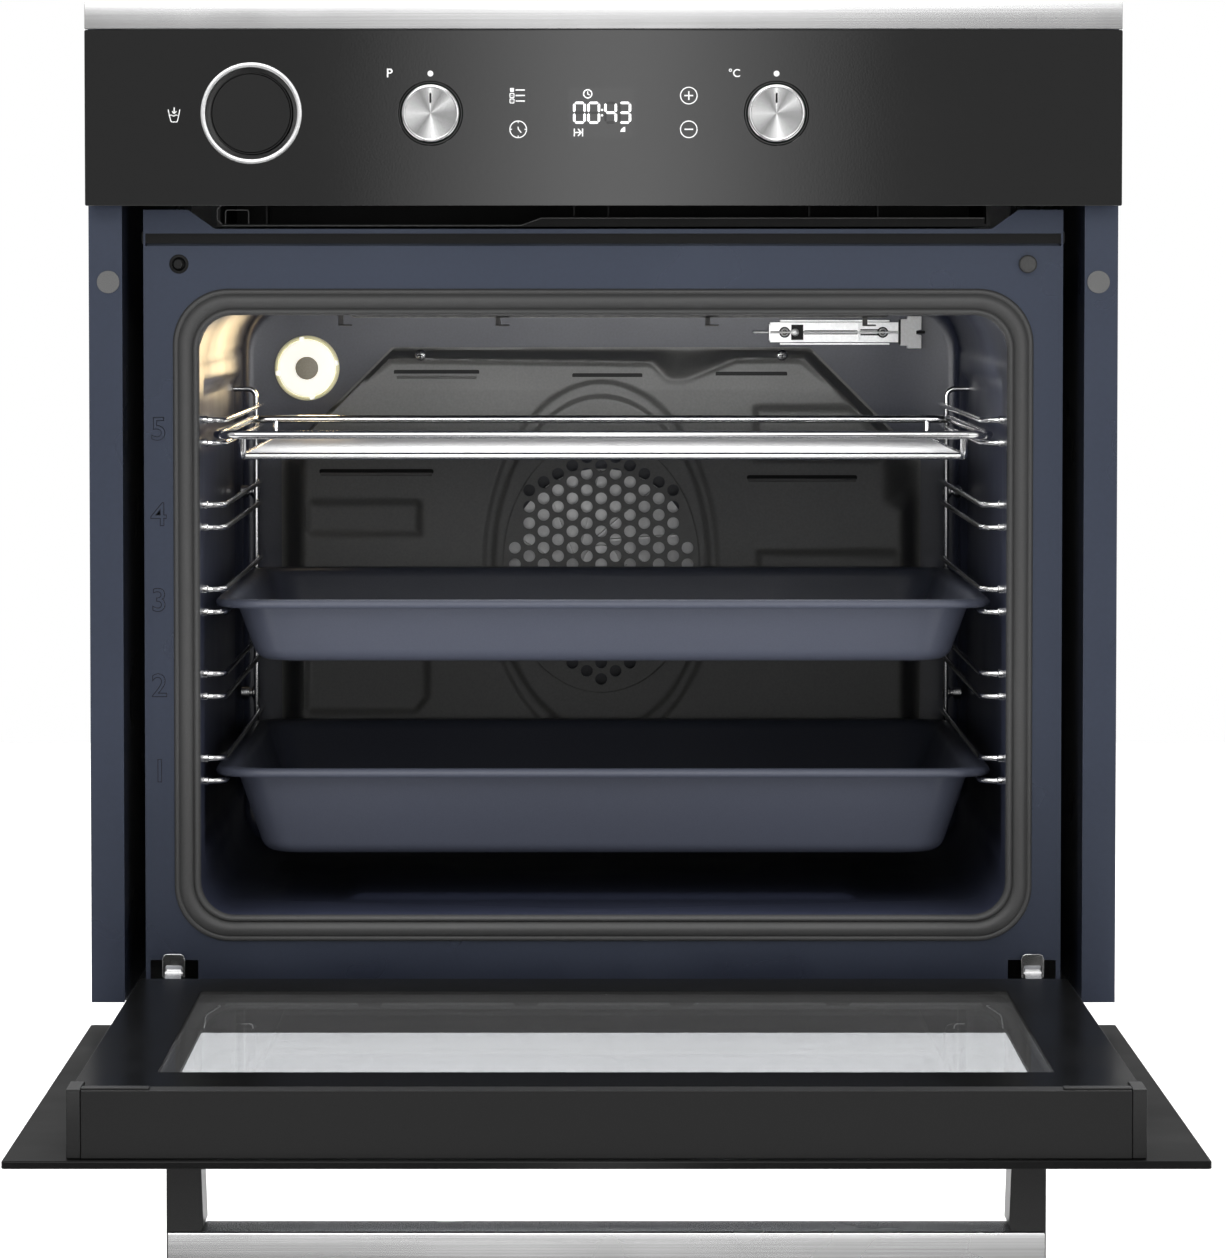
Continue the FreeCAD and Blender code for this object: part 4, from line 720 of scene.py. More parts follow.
def make_symbols():
    """Printed symbols: programme list, clock, plus, minus, water cup and index marks."""
    prints = Shape()
    for row in range(3):
        z = 544.6 - 3.15 * row
        box = rounded_loop((-53.6, -51.3), (z - 1.15, z + 1.15), 0.35, 3)
        if row == 0:
            filled(prints, box)
        else:
            stroke(prints, box, 0.55, closed=True)
            filled(prints, circle_loop(-52.45, z, 0.3, 8))
        stroke(prints, [(-50.4, z), (-45, z)], 0.75)
    clock_x, key_z = -48.9, 522.1
    stroke(prints, circle_loop(clock_x, key_z, 4.75, 48), 0.6, closed=True)
    for turn in range(4):
        a, b = math.cos(turn * math.pi / 2), math.sin(turn * math.pi / 2)
        stroke(prints, [(clock_x + 3.6 * a, key_z + 3.6 * b),
            (clock_x + 4.6 * a, key_z + 4.6 * b)], 0.6)
    stroke(prints, [(clock_x - 0.1, key_z + 1.5), (clock_x + 0.1, key_z + 0.1),
        (clock_x + 1.7, key_z - 1.9)], 0.65)
    for z in (541.4, key_z):
        stroke(prints, circle_loop(-clock_x, z, 4.75, 48), 0.6, closed=True)
        stroke(prints, [(-clock_x - 2.5, z), (-clock_x + 2.5, z)], 0.75)
    for low, high in ((538.9, 541), (541.8, 543.9)):
        stroke(prints, [(-clock_x, low), (-clock_x, high)], 0.75)
    cup = [(-249.5, 533.4), (-248.9, 530), (-248, 526.7), (-247.5, 526.3), (-244.8, 526.3),
        (-244.3, 526.7), (-243.5, 530), (-242.9, 533.4)]
    stroke(prints, cup, 0.5)
    wave = [(-248.6 + 0.5 * k, 530 + 0.35 * math.sin(k * 1.1)) for k in range(10)]
    stroke(prints, wave, 0.45)
    stroke(prints, [(-246.1, 534.6), (-246.1, 531.4)], 0.6)
    stroke(prints, [(-247.4, 532.4), (-246.1, 531.1), (-244.8, 532.4)], 0.5)
    for x, _ in KNOBS.values():
        filled(prints, circle_loop(x, 554, 1.65, 28))
    add("panel_symbols", prints, "white_print", "chassis", angle=60)
    letters = [face_on(lettering("P", 7.2, 0.12, thin=0.07), -122.7, -0.06, 554),
        face_on(lettering("°C", 6.4, 0.12, thin=0.05), 75, -0.06, 554)]
    add("panel_marks", letters, "white_print", "chassis", angle=60)


SEGMENTS = {"0": "abcdef", "3": "abgcd", "4": "fgbc"}


def digit_segments(x, z, width, height, thick):
    """Six-sided bars of a seven-segment digit by letter, from its centre."""
    half = height / 2
    reach, rise = width / 2 - thick / 2, half - thick / 2
    gap, point = 0.28, thick / 2

    def bar(a, b, e, f):
        along = Vector((e - a, f - b)).normalized()
        side = Vector((-along.y, along.x)) * point
        start, stop = Vector((a, b)) + along * gap, Vector((e, f)) - along * gap
        shoulder = along * point
        return [tuple(v) for v in (start, start + shoulder - side, stop - shoulder - side, stop,
            stop - shoulder + side, start + shoulder + side)]

    return {"a": bar(x - reach, z + rise, x + reach, z + rise),
        "b": bar(x + reach, z, x + reach, z + rise), "c": bar(x + reach, z - rise, x + reach, z),
        "d": bar(x - reach, z - rise, x + reach, z - rise),
        "e": bar(x - reach, z - rise, x - reach, z), "f": bar(x - reach, z, x - reach, z + rise),
        "g": bar(x - reach, z, x + reach, z),}


def make_display():
    lit, unlit = Shape(), Shape()
    for text, x in (("0", -13.8), ("0", -5.6), ("4", 4.1), ("3", 12.2)):
        for letter, outline in digit_segments(x, 531.6, 7.4, 12.7, 1.45).items():
            on = letter in SEGMENTS[text]
            filled(lit if on else unlit, outline, PRINT if on else (-0.05, 0.02))
    for z in (530.1, 533.2):
        filled(lit, circle_loop(-0.8, z, 0.62, 14))
    stroke(lit, circle_loop(-9.05, 542.4, 2.35, 32), 0.62, closed=True)
    stroke(lit, [(-9.05, 543.8), (-9.05, 542.3), (-8, 541.7)], 0.5)
    for x in (-16.7, -12):
        stroke(lit, [(x, 518.1), (x, 522.5)], 0.6)
    stroke(lit, [(-16.2, 520.3), (-12.7, 520.3)], 0.6)
    stroke(lit, [(-14.6, 522.3), (-12.8, 520.3), (-14.6, 518.3)], 0.6)
    wedge = [(9.6, 520.7), (12.4, 520.7), (12.4, 523.5), (11.2, 523.1), (10.2, 522.1)]
    filled(lit, wedge)
    add("display_digits", lit, "display_glow", "chassis", angle=60)
    add("display_unlit", unlit, "unlit_print", "chassis", angle=60)


def conic_metal(name, x, z):
    """Knob face whose colour is painted in bright and dark rays round the axis at (x, z): painted
    highlights standing in for the light its circular brushing would catch.
    """
    mat, tree, shader = blank(name)
    links = tree.links
    coord = tree.nodes.new("ShaderNodeTexCoord")
    place = tree.nodes.new("ShaderNodeMapping")
    centre = to_row(x, 0, z)
    place.inputs["Rotation"].default_value = (-math.pi / 2, 0, 0)
    place.inputs["Location"].default_value = (-centre.x, -centre.z, 0)
    sweep = tree.nodes.new("ShaderNodeTexGradient")
    sweep.gradient_type = "RADIAL"
    links.new(coord.outputs["Object"], place.inputs["Vector"])
    links.new(place.outputs["Vector"], sweep.inputs["Vector"])
    # These rays are painted highlights: brightness set by the angle round the axis, not by any
    # lamp.
    rays = ((-180, 0.70), (-150, 0.48), (-125, 0.27), (-110, 0.42), (-95, 0.74), (-82, 0.95),
        (-65, 0.58), (-45, 0.42), (-15, 0.32), (5, 0.36), (35, 0.74), (48, 0.44), (62, 0.30),
        (82, 0.52), (90, 0.92), (99, 0.46), (116, 0.28), (140, 0.44), (170, 0.62), (180, 0.70))
    colour = ramp_node(tree, sweep.outputs["Fac"], *[(turn / 360 + 0.5, grey(value)) for turn,
        value in rays])
    links.new(colour, shader.inputs["Base Color"])
    rings = tree.nodes.new("ShaderNodeTexWave")
    rings.wave_type = "RINGS"
    rings.rings_direction = "Z"
    rings.inputs["Scale"].default_value = 900
    links.new(place.outputs["Vector"], rings.inputs["Vector"])
    links.new(range_node(tree, rings.outputs["Fac"], 0.24, 0.36), shader.inputs["Roughness"])
    links.new(bump_node(tree, rings.outputs["Fac"], 0.08, 0.00003), shader.inputs["Normal"])
    set_sockets(shader, METAL)


def make_knobs():
    for side, (x, body) in KNOBS.items():
        centre = (x, 0, KNOB_Z)
        cap = Shape().turned("Y", centre, [(24.2, 5.4), (24.2, 6), (19, 6), (19, 15.6),
            (18.6, 16.2), (0.6, 16.65), (0, 16.65), (-0.55, 16.35), (-0.95, 15.6), (-1, 15.1),
            (-0.85, 14.7), (-0.55, 14.5), (-0.4, 14.2), (-0.4, 0.2)], steps=96)
        add(f"knob_{side}_turned", cap, "knob_rim", body, [f"knob_{side}_cap"],
            angle=40)
        face = Shape().turned("Y", centre, [(-0.2, 14.45), (-0.72, 14.45), (-0.6, 0.05)],
            steps=96)
        conic_metal(f"knob_face_painted_rays_{side}", x, KNOB_Z)
        add(f"knob_{side}_face", face, f"knob_face_painted_rays_{side}", body, angle=40)
        slot_line = Shape()
        filled(slot_line, rounded_loop((x - 0.6, x + 0.6), (KNOB_Z + 5.8, KNOB_Z + 11.6), 0.59,
            6), (-0.80, -0.3))
        add(f"knob_{side}_pointer", slot_line, "black_plastic", body)
        collar = Shape().turned("Y", centre, [(5, 17.25), (0.35, 17.25), (0.1, 17.45), (0.1, 18),
            (0.35, 18.25), (5, 18.25)], steps=96, caps=(False, False))
        add(f"knob_{side}_collar", collar, "panel_glass", "chassis",
            ["knob_collars"] if side == "left" else [])


def make_filler():
    centre = (FILLER_X, 0, KNOB_Z)
    ring = Shape().turned("Y", centre, [(8, 26.3), (0.2, 26.3), (-0.5, 26.45), (-0.8, 26.9),
        (-0.8, 28.3), (-0.6, 28.9), (-0.1, 29.15), (0, 29), (0, 27.7), (8, 27.7)], steps=112,
        caps=(False, False))
    add("filler_ring_turned", ring, "satin_ring", "chassis", ["filler_ring"])
    disc = Shape().turned("Y", centre, [(3, 23.4), (0.1, 23.4), (-0.25, 23.2), (-0.4, 22.8),
        (-0.4, 22.3), (-0.3, 22.1), (-0.3, 0.1)], steps=96, caps=(False, True))
    add("filler_disc", disc, "panel_glass", "filler")


def make_trim():
    section = [(0.9, 579.3), (0, 579.7), (0, 594.3), (0.12, 594.8), (0.6, 595), (20.5, 595),
        (20.5, 594), (1.2, 594), (1.2, 579.3)]
    bar = Shape().prism(section, "X", (-297.4, 297.4))
    add("top_trim_brushed", bar, "brushed_steel", "chassis", ["top_trim"],
        bevel=0.35)


surface("panel_glass", grey(0.0035), grey(0.0055), 0.05, smudge=0.008)
surface("display_window", grey(0.009), grey(0.011), 0.06, smudge=0.01)
surface("white_print", grey(0.74), grey(0.80), 0.6, grain=2500)
surface("display_glow", grey(0.78), grey(0.86), 0.5, grain=2500, sockets=glow(0.45))
surface("unlit_print", grey(0.030), grey(0.036), 0.4, grain=2500)
surface("knob_rim", grey(0.70), grey(0.80), 0.20, METAL, grain=400, smudge=0.03)
surface("satin_ring", grey(0.80), grey(0.86), 0.38, METAL, grain=500)

make_control_glass()
make_symbols()
make_display()
make_knobs()
make_filler()
make_trim()


# ---------------------------------------------------------------- door, lying open

def flat_at(mesh, z):
    """Lays a flat mesh level with its underside at height z."""
    mesh.transform(Matrix.Translation((0, 0, z)))
    return mesh


def bordered_pane(name, node, x, y, window, z, thick, material):
    """Pane whose printed border is a frame of dark glass round a clear window."""
    outer = rounded_loop(x, y, 2, steps=4)
    hole = rounded_loop(window[:2], window[2:], 1.2, steps=3)
    rim = flat_at(plate([outer, hole], thick, 0.4), z)
    add(name + "_border", rim, material, "door", [node], angle=12)
    clear = Shape().prism(hole, "Z", (z + 0.25, z + thick - 0.25))
    add(name + "_window", clear, "window_glass_painted_glow", "door", angle=30)


# Clear window of the outer pane: low x, high x, low y, high y.
OUTER_WINDOW = (-230, 230, -404, -29)


def make_panes():
    """Outer pane with the print on its inner face, and the inner pane."""
    bordered_pane("door_outer", "door_outer_glass", (-HALF_WIDTH, HALF_WIDTH), (-460, 14),
        OUTER_WINDOW, 0, 3.7, "outer_glass")
    outer = rounded_loop((-297.1, 297.1), (-459.6, 13.6), 1.7, steps=4)
    hole = rounded_loop(OUTER_WINDOW[:2], OUTER_WINDOW[2:], 1.2, steps=3)
    add("door_outer_print", flat_at(plate([outer, hole], 0.28), 3.72), "black_print", "door",
        angle=12)
    bordered_pane("door_inner", "door_inner_glass", (-265, 265), (-451, -32),
        (-226, 226, -387, -85), 33, 4, "inner_print")


def make_vent_face():
    """Face of the lower profile: five air slots, the outline of a small clip, and at each side a
    bright curved wire that is a painted reflection of the cavity's lower corner.
    """
    strips, clip_and_reflection_wires = Shape(), Shape()
    for k in range(5):
        low = -216.5 + 89.2 * k
        strips.prism([(low, 17.2), (low + 76.5, 17.2), (low + 75, 21.2), (low + 1.5, 21.2)], "Y",
            (-31.35, -30.8))
    add("door_air_slots", strips, "grey_plastic", "door", bevel=0.1)
    for side in SIDES:
        clip_and_reflection_wires.wire([(side * 206.5, -31.2, 7.2), (side * 200.5, -31.2, 7.2),
            (side * 200.5, -31.2, 4.4)], 0.35, bend=2, sides=8)
        # This curved steel wire is a painted reflection: a bright line standing in for the
        # reflection of the cavity's lower corner, not a part of the door.
        clip_and_reflection_wires.wire([(side * 228.5, -31.2, 4.6), (side * 227.5, -31.2, 12),
            (side * 219, -31.2, 17.5)], 0.45, bend=4, sides=8)
    add("door_clip_and_painted_reflection", clip_and_reflection_wires, "steel", "door")


def make_cap():
    """Plastic cap over the free edge, with a moulded corner piece at each end."""
    cap = Shape().prism([(-456, 4.4), (-456, 38.2), (-442, 38.2), (-442, 37.2), (-452.3, 37.2),
        (-452.3, 4.4)], "X", (-258.6, 258.6))
    add("door_cap", cap, "cap_plastic", "door", ["door_top_profile"], bevel=0.7)
    corners = Shape()
    for side in SIDES:
        ends = sorted((side * 258.8, side * 265.9))
        section = [(-455.6, 4.4), (-455.6, 36.9), (-454.3, 38.6), (-448, 38.9), (-430, 38.9),
            (-428, 37.15), (-451.6, 37.15), (-451.6, 4.4)]
        corners.prism(section, "X", ends)
        lips = sorted((side * 225, side * 258.7))
        corners.prism([(-454.2, 38.25), (-453.6, 39.3), (-446.5, 39.3), (-445.5, 38.25)], "X",
            lips)
    add("door_cap_corners", corners, "cap_plastic", "door", bevel=0.6)


def make_handle():
    bar = Shape().prism([(-430, -51), (-429.2, -51.8), (-428.4, -52), (-399.6, -52),
        (-398, -50.4), (-398, -37.9), (-399.6, -36.3), (-428.6, -36.3), (-429.5, -36.7),
        (-430, -37.6)], "X", (-218.2, 218.2))
    add("handle_bar_brushed", bar, "handle_steel", "door", ["handle_bar"],
        bevel=0.4)
    for side in SIDES:
        word = SIDES[side]
        leg = Shape()
        outline = [(218.6, 0), (201.4, 0), (200.2, -33.6), (201.4, -36.2), (202.6, -36.25),
            (217.6, -36.25), (217.9, -51.9), (218.6, -51.9)]
        leg.prism([(side * a, b) for a, b in outline], "Y", (-429.9, -399.5))
        add(f"handle_leg_{word}", leg, "leg_black", "door", ["handle_legs"]
            if side < 0 else [], bevel=0.9)


def make_hinge_dress(side):
    """Polished lock lever: an arch with two side ears and the pin between them."""
    word = SIDES[side]
    x = 251 * side
    body = f"{word}_lock"
    lever = Shape()
    arch = [(-6.6, 28.7), (-6.6, 39.4), (-5.9, 41.4), (-4.2, 42.3), (4.2, 42.3), (5.9, 41.4),
        (6.6, 39.4), (6.6, 28.7), (5.2, 28.7), (5.2, 34.2), (4.4, 35.4), (-4.4, 35.4),
        (-5.2, 34.2), (-5.2, 28.7)]
    lever.prism([(x + a, b) for a, b in arch], "Y", (36, 37.4))
    for low in (-6.6, 5.2):
        lever.prism([(36.2, 28.6), (40.8, 28.6), (40.8, 32.6), (37.9, 38), (36.2, 38)], "X",
            (x + low, x + low + 1.4))
    lever.turned("X", (0, 38.5, 30.6), [(x - 5.6, 1.25), (x + 5.6, 1.25)], steps=20)
    add(f"lock_lever_{word}_bent", lever, "chrome", body, [f"lock_lever_{word}"],
        bevel=0.25)


# The window glass glows faintly (emission 0.014): a painted glow that brightens the panes,
# standing in for light; the glass is no lamp.
glass("window_glass_painted_glow", (0.815, 0.822, 0.830), rough=0, sockets={"IOR": 1.03, **glow(0.014)})
surface("black_print", grey(0.010), grey(0.015), 0.35, grain=1600, sockets={"IOR": 1.06})
surface("outer_glass", grey(0.004), grey(0.006), 0.10, smudge=0.02,
    sockets={"Specular IOR Level": 0.12})
surface("inner_print", grey(0.004), grey(0.006), 0.24, smudge=0.03, sockets={"IOR": 1.08})
surface("cap_plastic", grey(0.005), grey(0.008), 0.45, grain=1800, bump=0.2, sockets=LOW_SHEEN)
surface("leg_black", grey(0.006), grey(0.010), 0.36, grain=1500, bump=0.15, sockets=LOW_SHEEN)
surface("handle_steel", grey(0.42), grey(0.54), 0.26, METAL, grain=260, stretch=(0.02, 6, 6),
    bump=0.2)
NODES["door_middle_glass"].data.materials[0] = M["window_glass_painted_glow"]

make_panes()
make_vent_face()
make_cap()
make_handle()
for side in SIDES:
    make_hinge_dress(side)


# ---------------------------------------------------------------- racks, lamp and sensor

def make_rack(side):
    """Bent rack: ten rails plugged into the cavity wall in front, hooked on one upright."""
    word = SIDES[side]
    wires, plugs = Shape(), Shape()
    wires.wire([(side * 240, 414, LEVELS[0] - 16), (side * 225.4, 414, LEVELS[0] - 16),
        (side * 225.4, 414, LEVELS[4] + 24), (side * 240, 414, LEVELS[4] + 24)], 1.7, bend=5,
        sides=12)
    for level in LEVELS:
        for z in (level, level + RAIL_GAP):
            wires.wire([(side * 235.8, 58.5, z), (side * 222, 60.5, z), (side * 222, 416, z)],
                1.6, bend=6, sides=12)
            plugs.turned("X", (0, 58.7, z), [(side * 236, 2.5), (side * 232.2, 2.5),
                (side * 231.4, 1.8), (side * 229, 1.7)], steps=20)
    add(f"rack_{word}_wires", wires, "chrome", "chassis", [f"rack_{word}"], angle=60)
    add(f"rack_{word}_plugs", plugs, "chrome", "chassis")


def make_rack_nuts():
    """Knurled thumb nuts that hold the racks to the cavity wall."""
    nuts = Shape()
    for side in SIDES:
        for z in (297, 165):
            profile = [(235.6, 4.4), (230.6, 4.4), (230.2, 2.6), (228.8, 2.6), (228.4, 4.2),
                (227.8, 4.5), (224.6, 4.5), (223.8, 3.6), (223.4, 3.4)]
            nuts.turned("X", (0, 420.7, z), [(side * a, r) for a, r in profile], steps=18)
    add("rack_nuts_turned", nuts, "zinc_steel", "chassis", ["rack_nuts"], angle=25)


def make_lamp():
    centre = (-194, 0, 377.2)
    rim = Shape().turned("Y", centre, [(462, 19.6), (455, 19.7), (454.8, 21.2), (453, 21.4),
        (451, 21.2), (449.9, 20.4), (449.7, 19.4), (450.6, 18.9)], steps=80, caps=(False, False))
    add("lamp_rim", rim, "lamp_rim", "lamp_glass", ["lamp_cover"])
    profile = [(451.5, 19), (450.2, 18.9), (449.7, 18.2)]
    for k in range(9):
        radius = 17.4 - k * 1.15
        profile.append((449.55 + 0.12 * (k % 2), radius))
    profile += [(449.5, 7.6), (449.5, 0.2)]
    dome = Shape().turned("Y", centre, profile, steps=80)
    add("lamp_dome", dome, "lamp_glow", "lamp_glass", angle=60)
    disc = Shape().turned("Y", centre, [(449.6, 7.6), (449.2, 7.6), (449.1, 7.3), (449.1, 0.1)],
        steps=48)
    add("lamp_centre", disc, "lamp_disc", "lamp_glass")
    lugs = Shape()
    for turn in (100, 190, 280, 10):
        a, b = math.cos(math.radians(turn)), math.sin(math.radians(turn))
        middle = Vector((centre[0] + 19.6 * a, centre[2] + 19.6 * b))
        along, out = Vector((-b, a)), Vector((a, b))
        outline = [tuple(middle + along * p + out * q) for p, q in ((-1.8, -1.3), (1.8, -1.3),
            (1.4, 1.3), (-1.4, 1.3))]
        lugs.prism(outline, "Y", (449, 450.6))
    add("lamp_lugs", lugs, "lamp_glow", "lamp_glass", bevel=0.3)


SENSOR_Z = 400.8


def make_sensor():
    """Sensor bracket: pressed plate with folded rails, probe, clip, screws and end block."""
    plate_part, dark, block = Shape(), Shape(), Shape()
    z = SENSOR_Z
    plate_part.block((111.4, 196), (452.2, 454.9), (z - 6.6, z + 6.6))
    plate_part.block((110.6, 111.6), (447, 454.9), (z - 5.4, z + 5.4))
    for low in (z - 8.2, z + 7):
        plate_part.block((118, 190), (449, 454.9), (low, low + 1.2))
    plate_part.block((169.4, 170.2), (448.4, 452.4), (z - 5.2, z + 5.2))
    plate_part.turned("X", (0, 449.6, z), [(100, 0.5), (100.8, 0.75), (205.6, 0.75)], steps=16)
    for x in (121, 185.7):
        dark.turned("Y", (x, 0, z), [(452.3, 3.6), (451.6, 3.6)], steps=28)
        plate_part.turned("Y", (x, 0, z), [(451.8, 2.7), (451, 2.7), (450.8, 2.4)], steps=28)
        dark.turned("Y", (x, 0, z), [(451.4, 1.7), (450.6, 1.7)], steps=20)
        plate_part.turned("Y", (x, 0, z), [(451, 1.1), (450.2, 1.1), (450, 0.8)], steps=20)
    plate_part.turned("Y", (127.8, 0, z), [(449, 2.5), (447.6, 2.5), (447.3, 2.1)], steps=28)
    dark.block((125.4, 133.2), (448.6, 452.4), (z - 5, z + 5))
    for low, high, gap, tall in ((134, 169, 0.9, 0.5), (171, 183, 1.1, 1)):
        for a in (z + gap, z - gap - tall):
            dark.block((low, high), (451.9, 452.6), (a, a + tall))
    dark.block((196, 197.2), (446.6, 454.9), (z - 8, z + 8))
    dark.turned("X", (0, 449.6, z), [(204, 0.8), (213.4, 0.8)], steps=16)
    block.prism([(197.2, z - 8.8), (201.6, z - 8.8), (201.6, z - 10.6), (210.8, z - 10.6),
        (210.8, z - 1.8), (207.4, z - 1.2), (207.4, z + 1.2), (210.8, z + 1.8), (210.8, z + 10.6),
        (201.6, z + 10.6), (201.6, z + 8.8), (197.2, z + 8.8)], "Y", (444.4, 454.9))
    add("sensor_bracket", plate_part, "sensor_bright", "chassis",
        ["temperature_sensor"], bevel=0.15)
    add("sensor_dark", dark, "black_paint", "chassis")
    add("sensor_block", block, "ceramic", "chassis", bevel=0.4)


def make_hangers():
    """Straps that carry the grill element under the cavity ceiling."""
    straps = Shape()
    for x in (-154.9, -62, 62, 154.9):
        straps.block((x - 1.4, x + 1.4), (89, 92), (408.6, 423.6))
        straps.block((x - 1.4, x + 6.5), (88, 93), (408.4, 409.4))
    add("grill_straps", straps, "heater", "chassis", bevel=0.3)


def make_cover_screws():
    heads, cross = Shape(), Shape()
    for x in (-118.5, 118.5):
        heads.turned("Y", (x, 0, 386), [(434, 2), (431.2, 2), (431, 3.8), (429.6, 3.7),
            (428.7, 2.9), (428.4, 0.1)], steps=36)
        # The black crosses on the heads are painted shade standing in for the recesses of the
        # cross slots.
        for half_x, half_z in ((0.4, 1.9), (1.9, 0.4)):
            cross.block((x - half_x, x + half_x), (428.3, 428.9), (386 - half_z, 386 + half_z))
    add("fan_cover_screw_heads", heads, "zinc_steel", "chassis",
        ["fan_cover_screws"], angle=50)
    add("fan_cover_screw_cross_shade", cross, "black_paint", "chassis")


# ---------------------------------------------------------------- front frame and duct

def make_frame_marks():
    """Shelf level numbers on darker outlines that are painted shadow, a black strip in the groove
    as painted shade, the switch socket and the door buffer.
    """
    # The numbers stand on wider, darker enamel copies of themselves: a painted shadow round their
    # raised edges.
    for name, thin, deep, finish in (("level_number_painted_shadows", 0.35, 0.35, "number_shadow_enamel"),
            ("level_numbers", -0.12, 0.9, "enamel")):
        numbers = [face_on(lettering(str(level), 19, deep, thin=thin), -259.2, 43, 148.4 + 50
            * (level - 1)) for level in range(1, 6)]
        add(name, numbers, finish, "chassis", angle=60)
    # A black strip in the dark groove above the opening: painted shade, not a part.
    strip = Shape().prism([(43.7, 457), (43.5, 460.4), (43.7, 463.8), (52.6, 463.8), (52.6, 457)],
        "X", (-268.6, 268.6))
    add("groove_shade_strip", strip, "black_paint", "chassis")
    rings = Shape()
    rings.turned("Y", (-BUFFER_X, 0, BUFFER_Z), [(43.6, 5.6), (42.6, 5.6), (42.3, 5.2), (42.3, 4),
        (43.6, 3.2)], steps=40, caps=(False, False))
    add("switch_socket", rings, "black_paint", "chassis")
    buffer_part = Shape().turned("Y", (BUFFER_X, 0, BUFFER_Z), [(47, 2.8), (42.9, 2.8),
        (42.9, 5.2), (38.6, 5.2), (37.8, 4.7), (37.6, 3.8), (37.6, 0.1)], steps=40)
    add("door_buffer_turned", buffer_part, "buffer_grey", "chassis",
        ["door_bumper"], angle=50)


def make_duct_dress():
    """Outlet of the cooling duct: rolled lip, a clip outline, guide vanes, a stepped sill and a
    black plate across the duct behind them as painted shade.
    """
    lip, dark = Shape(), Shape()
    lip.wire([(-222, 44, 468.2), (-224.6, 44, 471), (-224.6, 44, 477), (-221.5, 44, 479.8),
        (224.5, 44, 479.8)], 0.5, bend=1.6, sides=8)
    lip.wire([(-220, 46, 467.8), (-220, 46, 476.5), (-206.5, 46, 476.5), (-206.5, 46, 467.8)],
        0.4, bend=1.5, sides=8)
    lip.wire([(-222, 44, 467.4), (-48, 44, 467.4), (-36, 44, 471.8), (222, 44, 471.8)], 0.4,
        bend=2, sides=8)
    sill = [(-47, 466.9), (222, 466.9), (222, 471.4), (-36, 471.4)]
    dark.prism(sill, "Y", (44.5, 60))
    for x in (-196, -17, 3, 120, 160):
        dark.block((x - 0.5, x + 0.5), (46, 70), (467, 482))
    # This black plate across the whole duct is painted shade: a dark sheet put in so the duct
    # reads dark behind its outlet.
    dark.block((-223, 223), (88, 89), (468, 498))
    add("duct_lip", lip, "duct_edge", "chassis", angle=60)
    add("duct_vanes_and_shade_plate", dark, "black_paint", "chassis")


def make_insulation():
    outer = rounded_loop((-264.8, 264.8), (30.2, 449.8), 40, steps=10)
    inner = rounded_loop((-243.6, 243.6), (50, 430), 36, steps=10)
    wrap = face_on(plate([outer, inner], 374), 0, 454.5, 0)
    add("insulation_wrap", wrap, "wool", "chassis", ["insulation"], angle=40)


surface("lamp_rim", (0.74, 0.70, 0.40), (0.82, 0.78, 0.48), 0.25, grain=800,
    sockets=glow(0.22, (1, 0.93, 0.62)))
surface("lamp_glow", (0.90, 0.88, 0.80), (0.96, 0.94, 0.86), 0.35, grain=800,
    sockets=glow(0.6, (1, 0.97, 0.88)))
surface("lamp_disc", (0.38, 0.34, 0.26), (0.44, 0.40, 0.31), 0.5, grain=900, bump=0.4)
surface("ceramic", grey(0.80, (1, 0.99, 0.97)), grey(0.88), 0.4, grain=700)
surface("sensor_bright", grey(0.72), grey(0.82), 0.38, {"Metallic": 0.55}, grain=500)
# Darker enamel for the painted shadows round the level numbers.
surface("number_shadow_enamel", grey(0.006, BLUE), grey(0.009, BLUE), 0.4, grain=700, sockets=LOW_SHEEN)
surface("buffer_grey", grey(0.030), grey(0.042), 0.6, grain=900)
surface("duct_edge", grey(0.030), grey(0.045), 0.35, grain=900)

for side in SIDES:
    make_rack(side)
make_rack_nuts()
make_lamp()
make_sensor()
make_hangers()
make_cover_screws()
make_frame_marks()
make_duct_dress()
make_insulation()


# ---------------------------------------------------------------- stage

STUDIO = 0.50
STUDIO_LOW = 0.12
STUDIO_PANEL = 3.0


def area_light(name, place, target, size, power, colour=(1.0, 1.0, 1.0), hidden=()):
    data = bpy.data.lights.new(name, "AREA")
    data.shape = "RECTANGLE"
    data.size, data.size_y = size
    data.energy = power
    data.color = colour
    light = bpy.data.objects.new(name, data)
    light.location = place
    aim = Vector(target) - Vector(place)
    light.rotation_euler = aim.to_track_quat("-Z", "Y").to_euler()
    for rays in hidden:
        setattr(light, f"visible_{rays}", False)
    bpy.context.scene.collection.objects.link(light)


def make_floor(height, half, near, far):
    mesh = bpy.data.meshes.new("floor")
    corners = [(-half, near, height), (half, near, height), (half, far, height),
        (-half, far, height)]
    mesh.from_pydata(corners, [], [(0, 1, 2, 3)])
    floor = bpy.data.objects.new("floor", mesh)
    floor.data.materials.append(surface("floor_paint", grey(0.80), grey(0.82), 0.9, grain=5.0,
        bump=0.0))
    bpy.context.scene.collection.objects.link(floor)


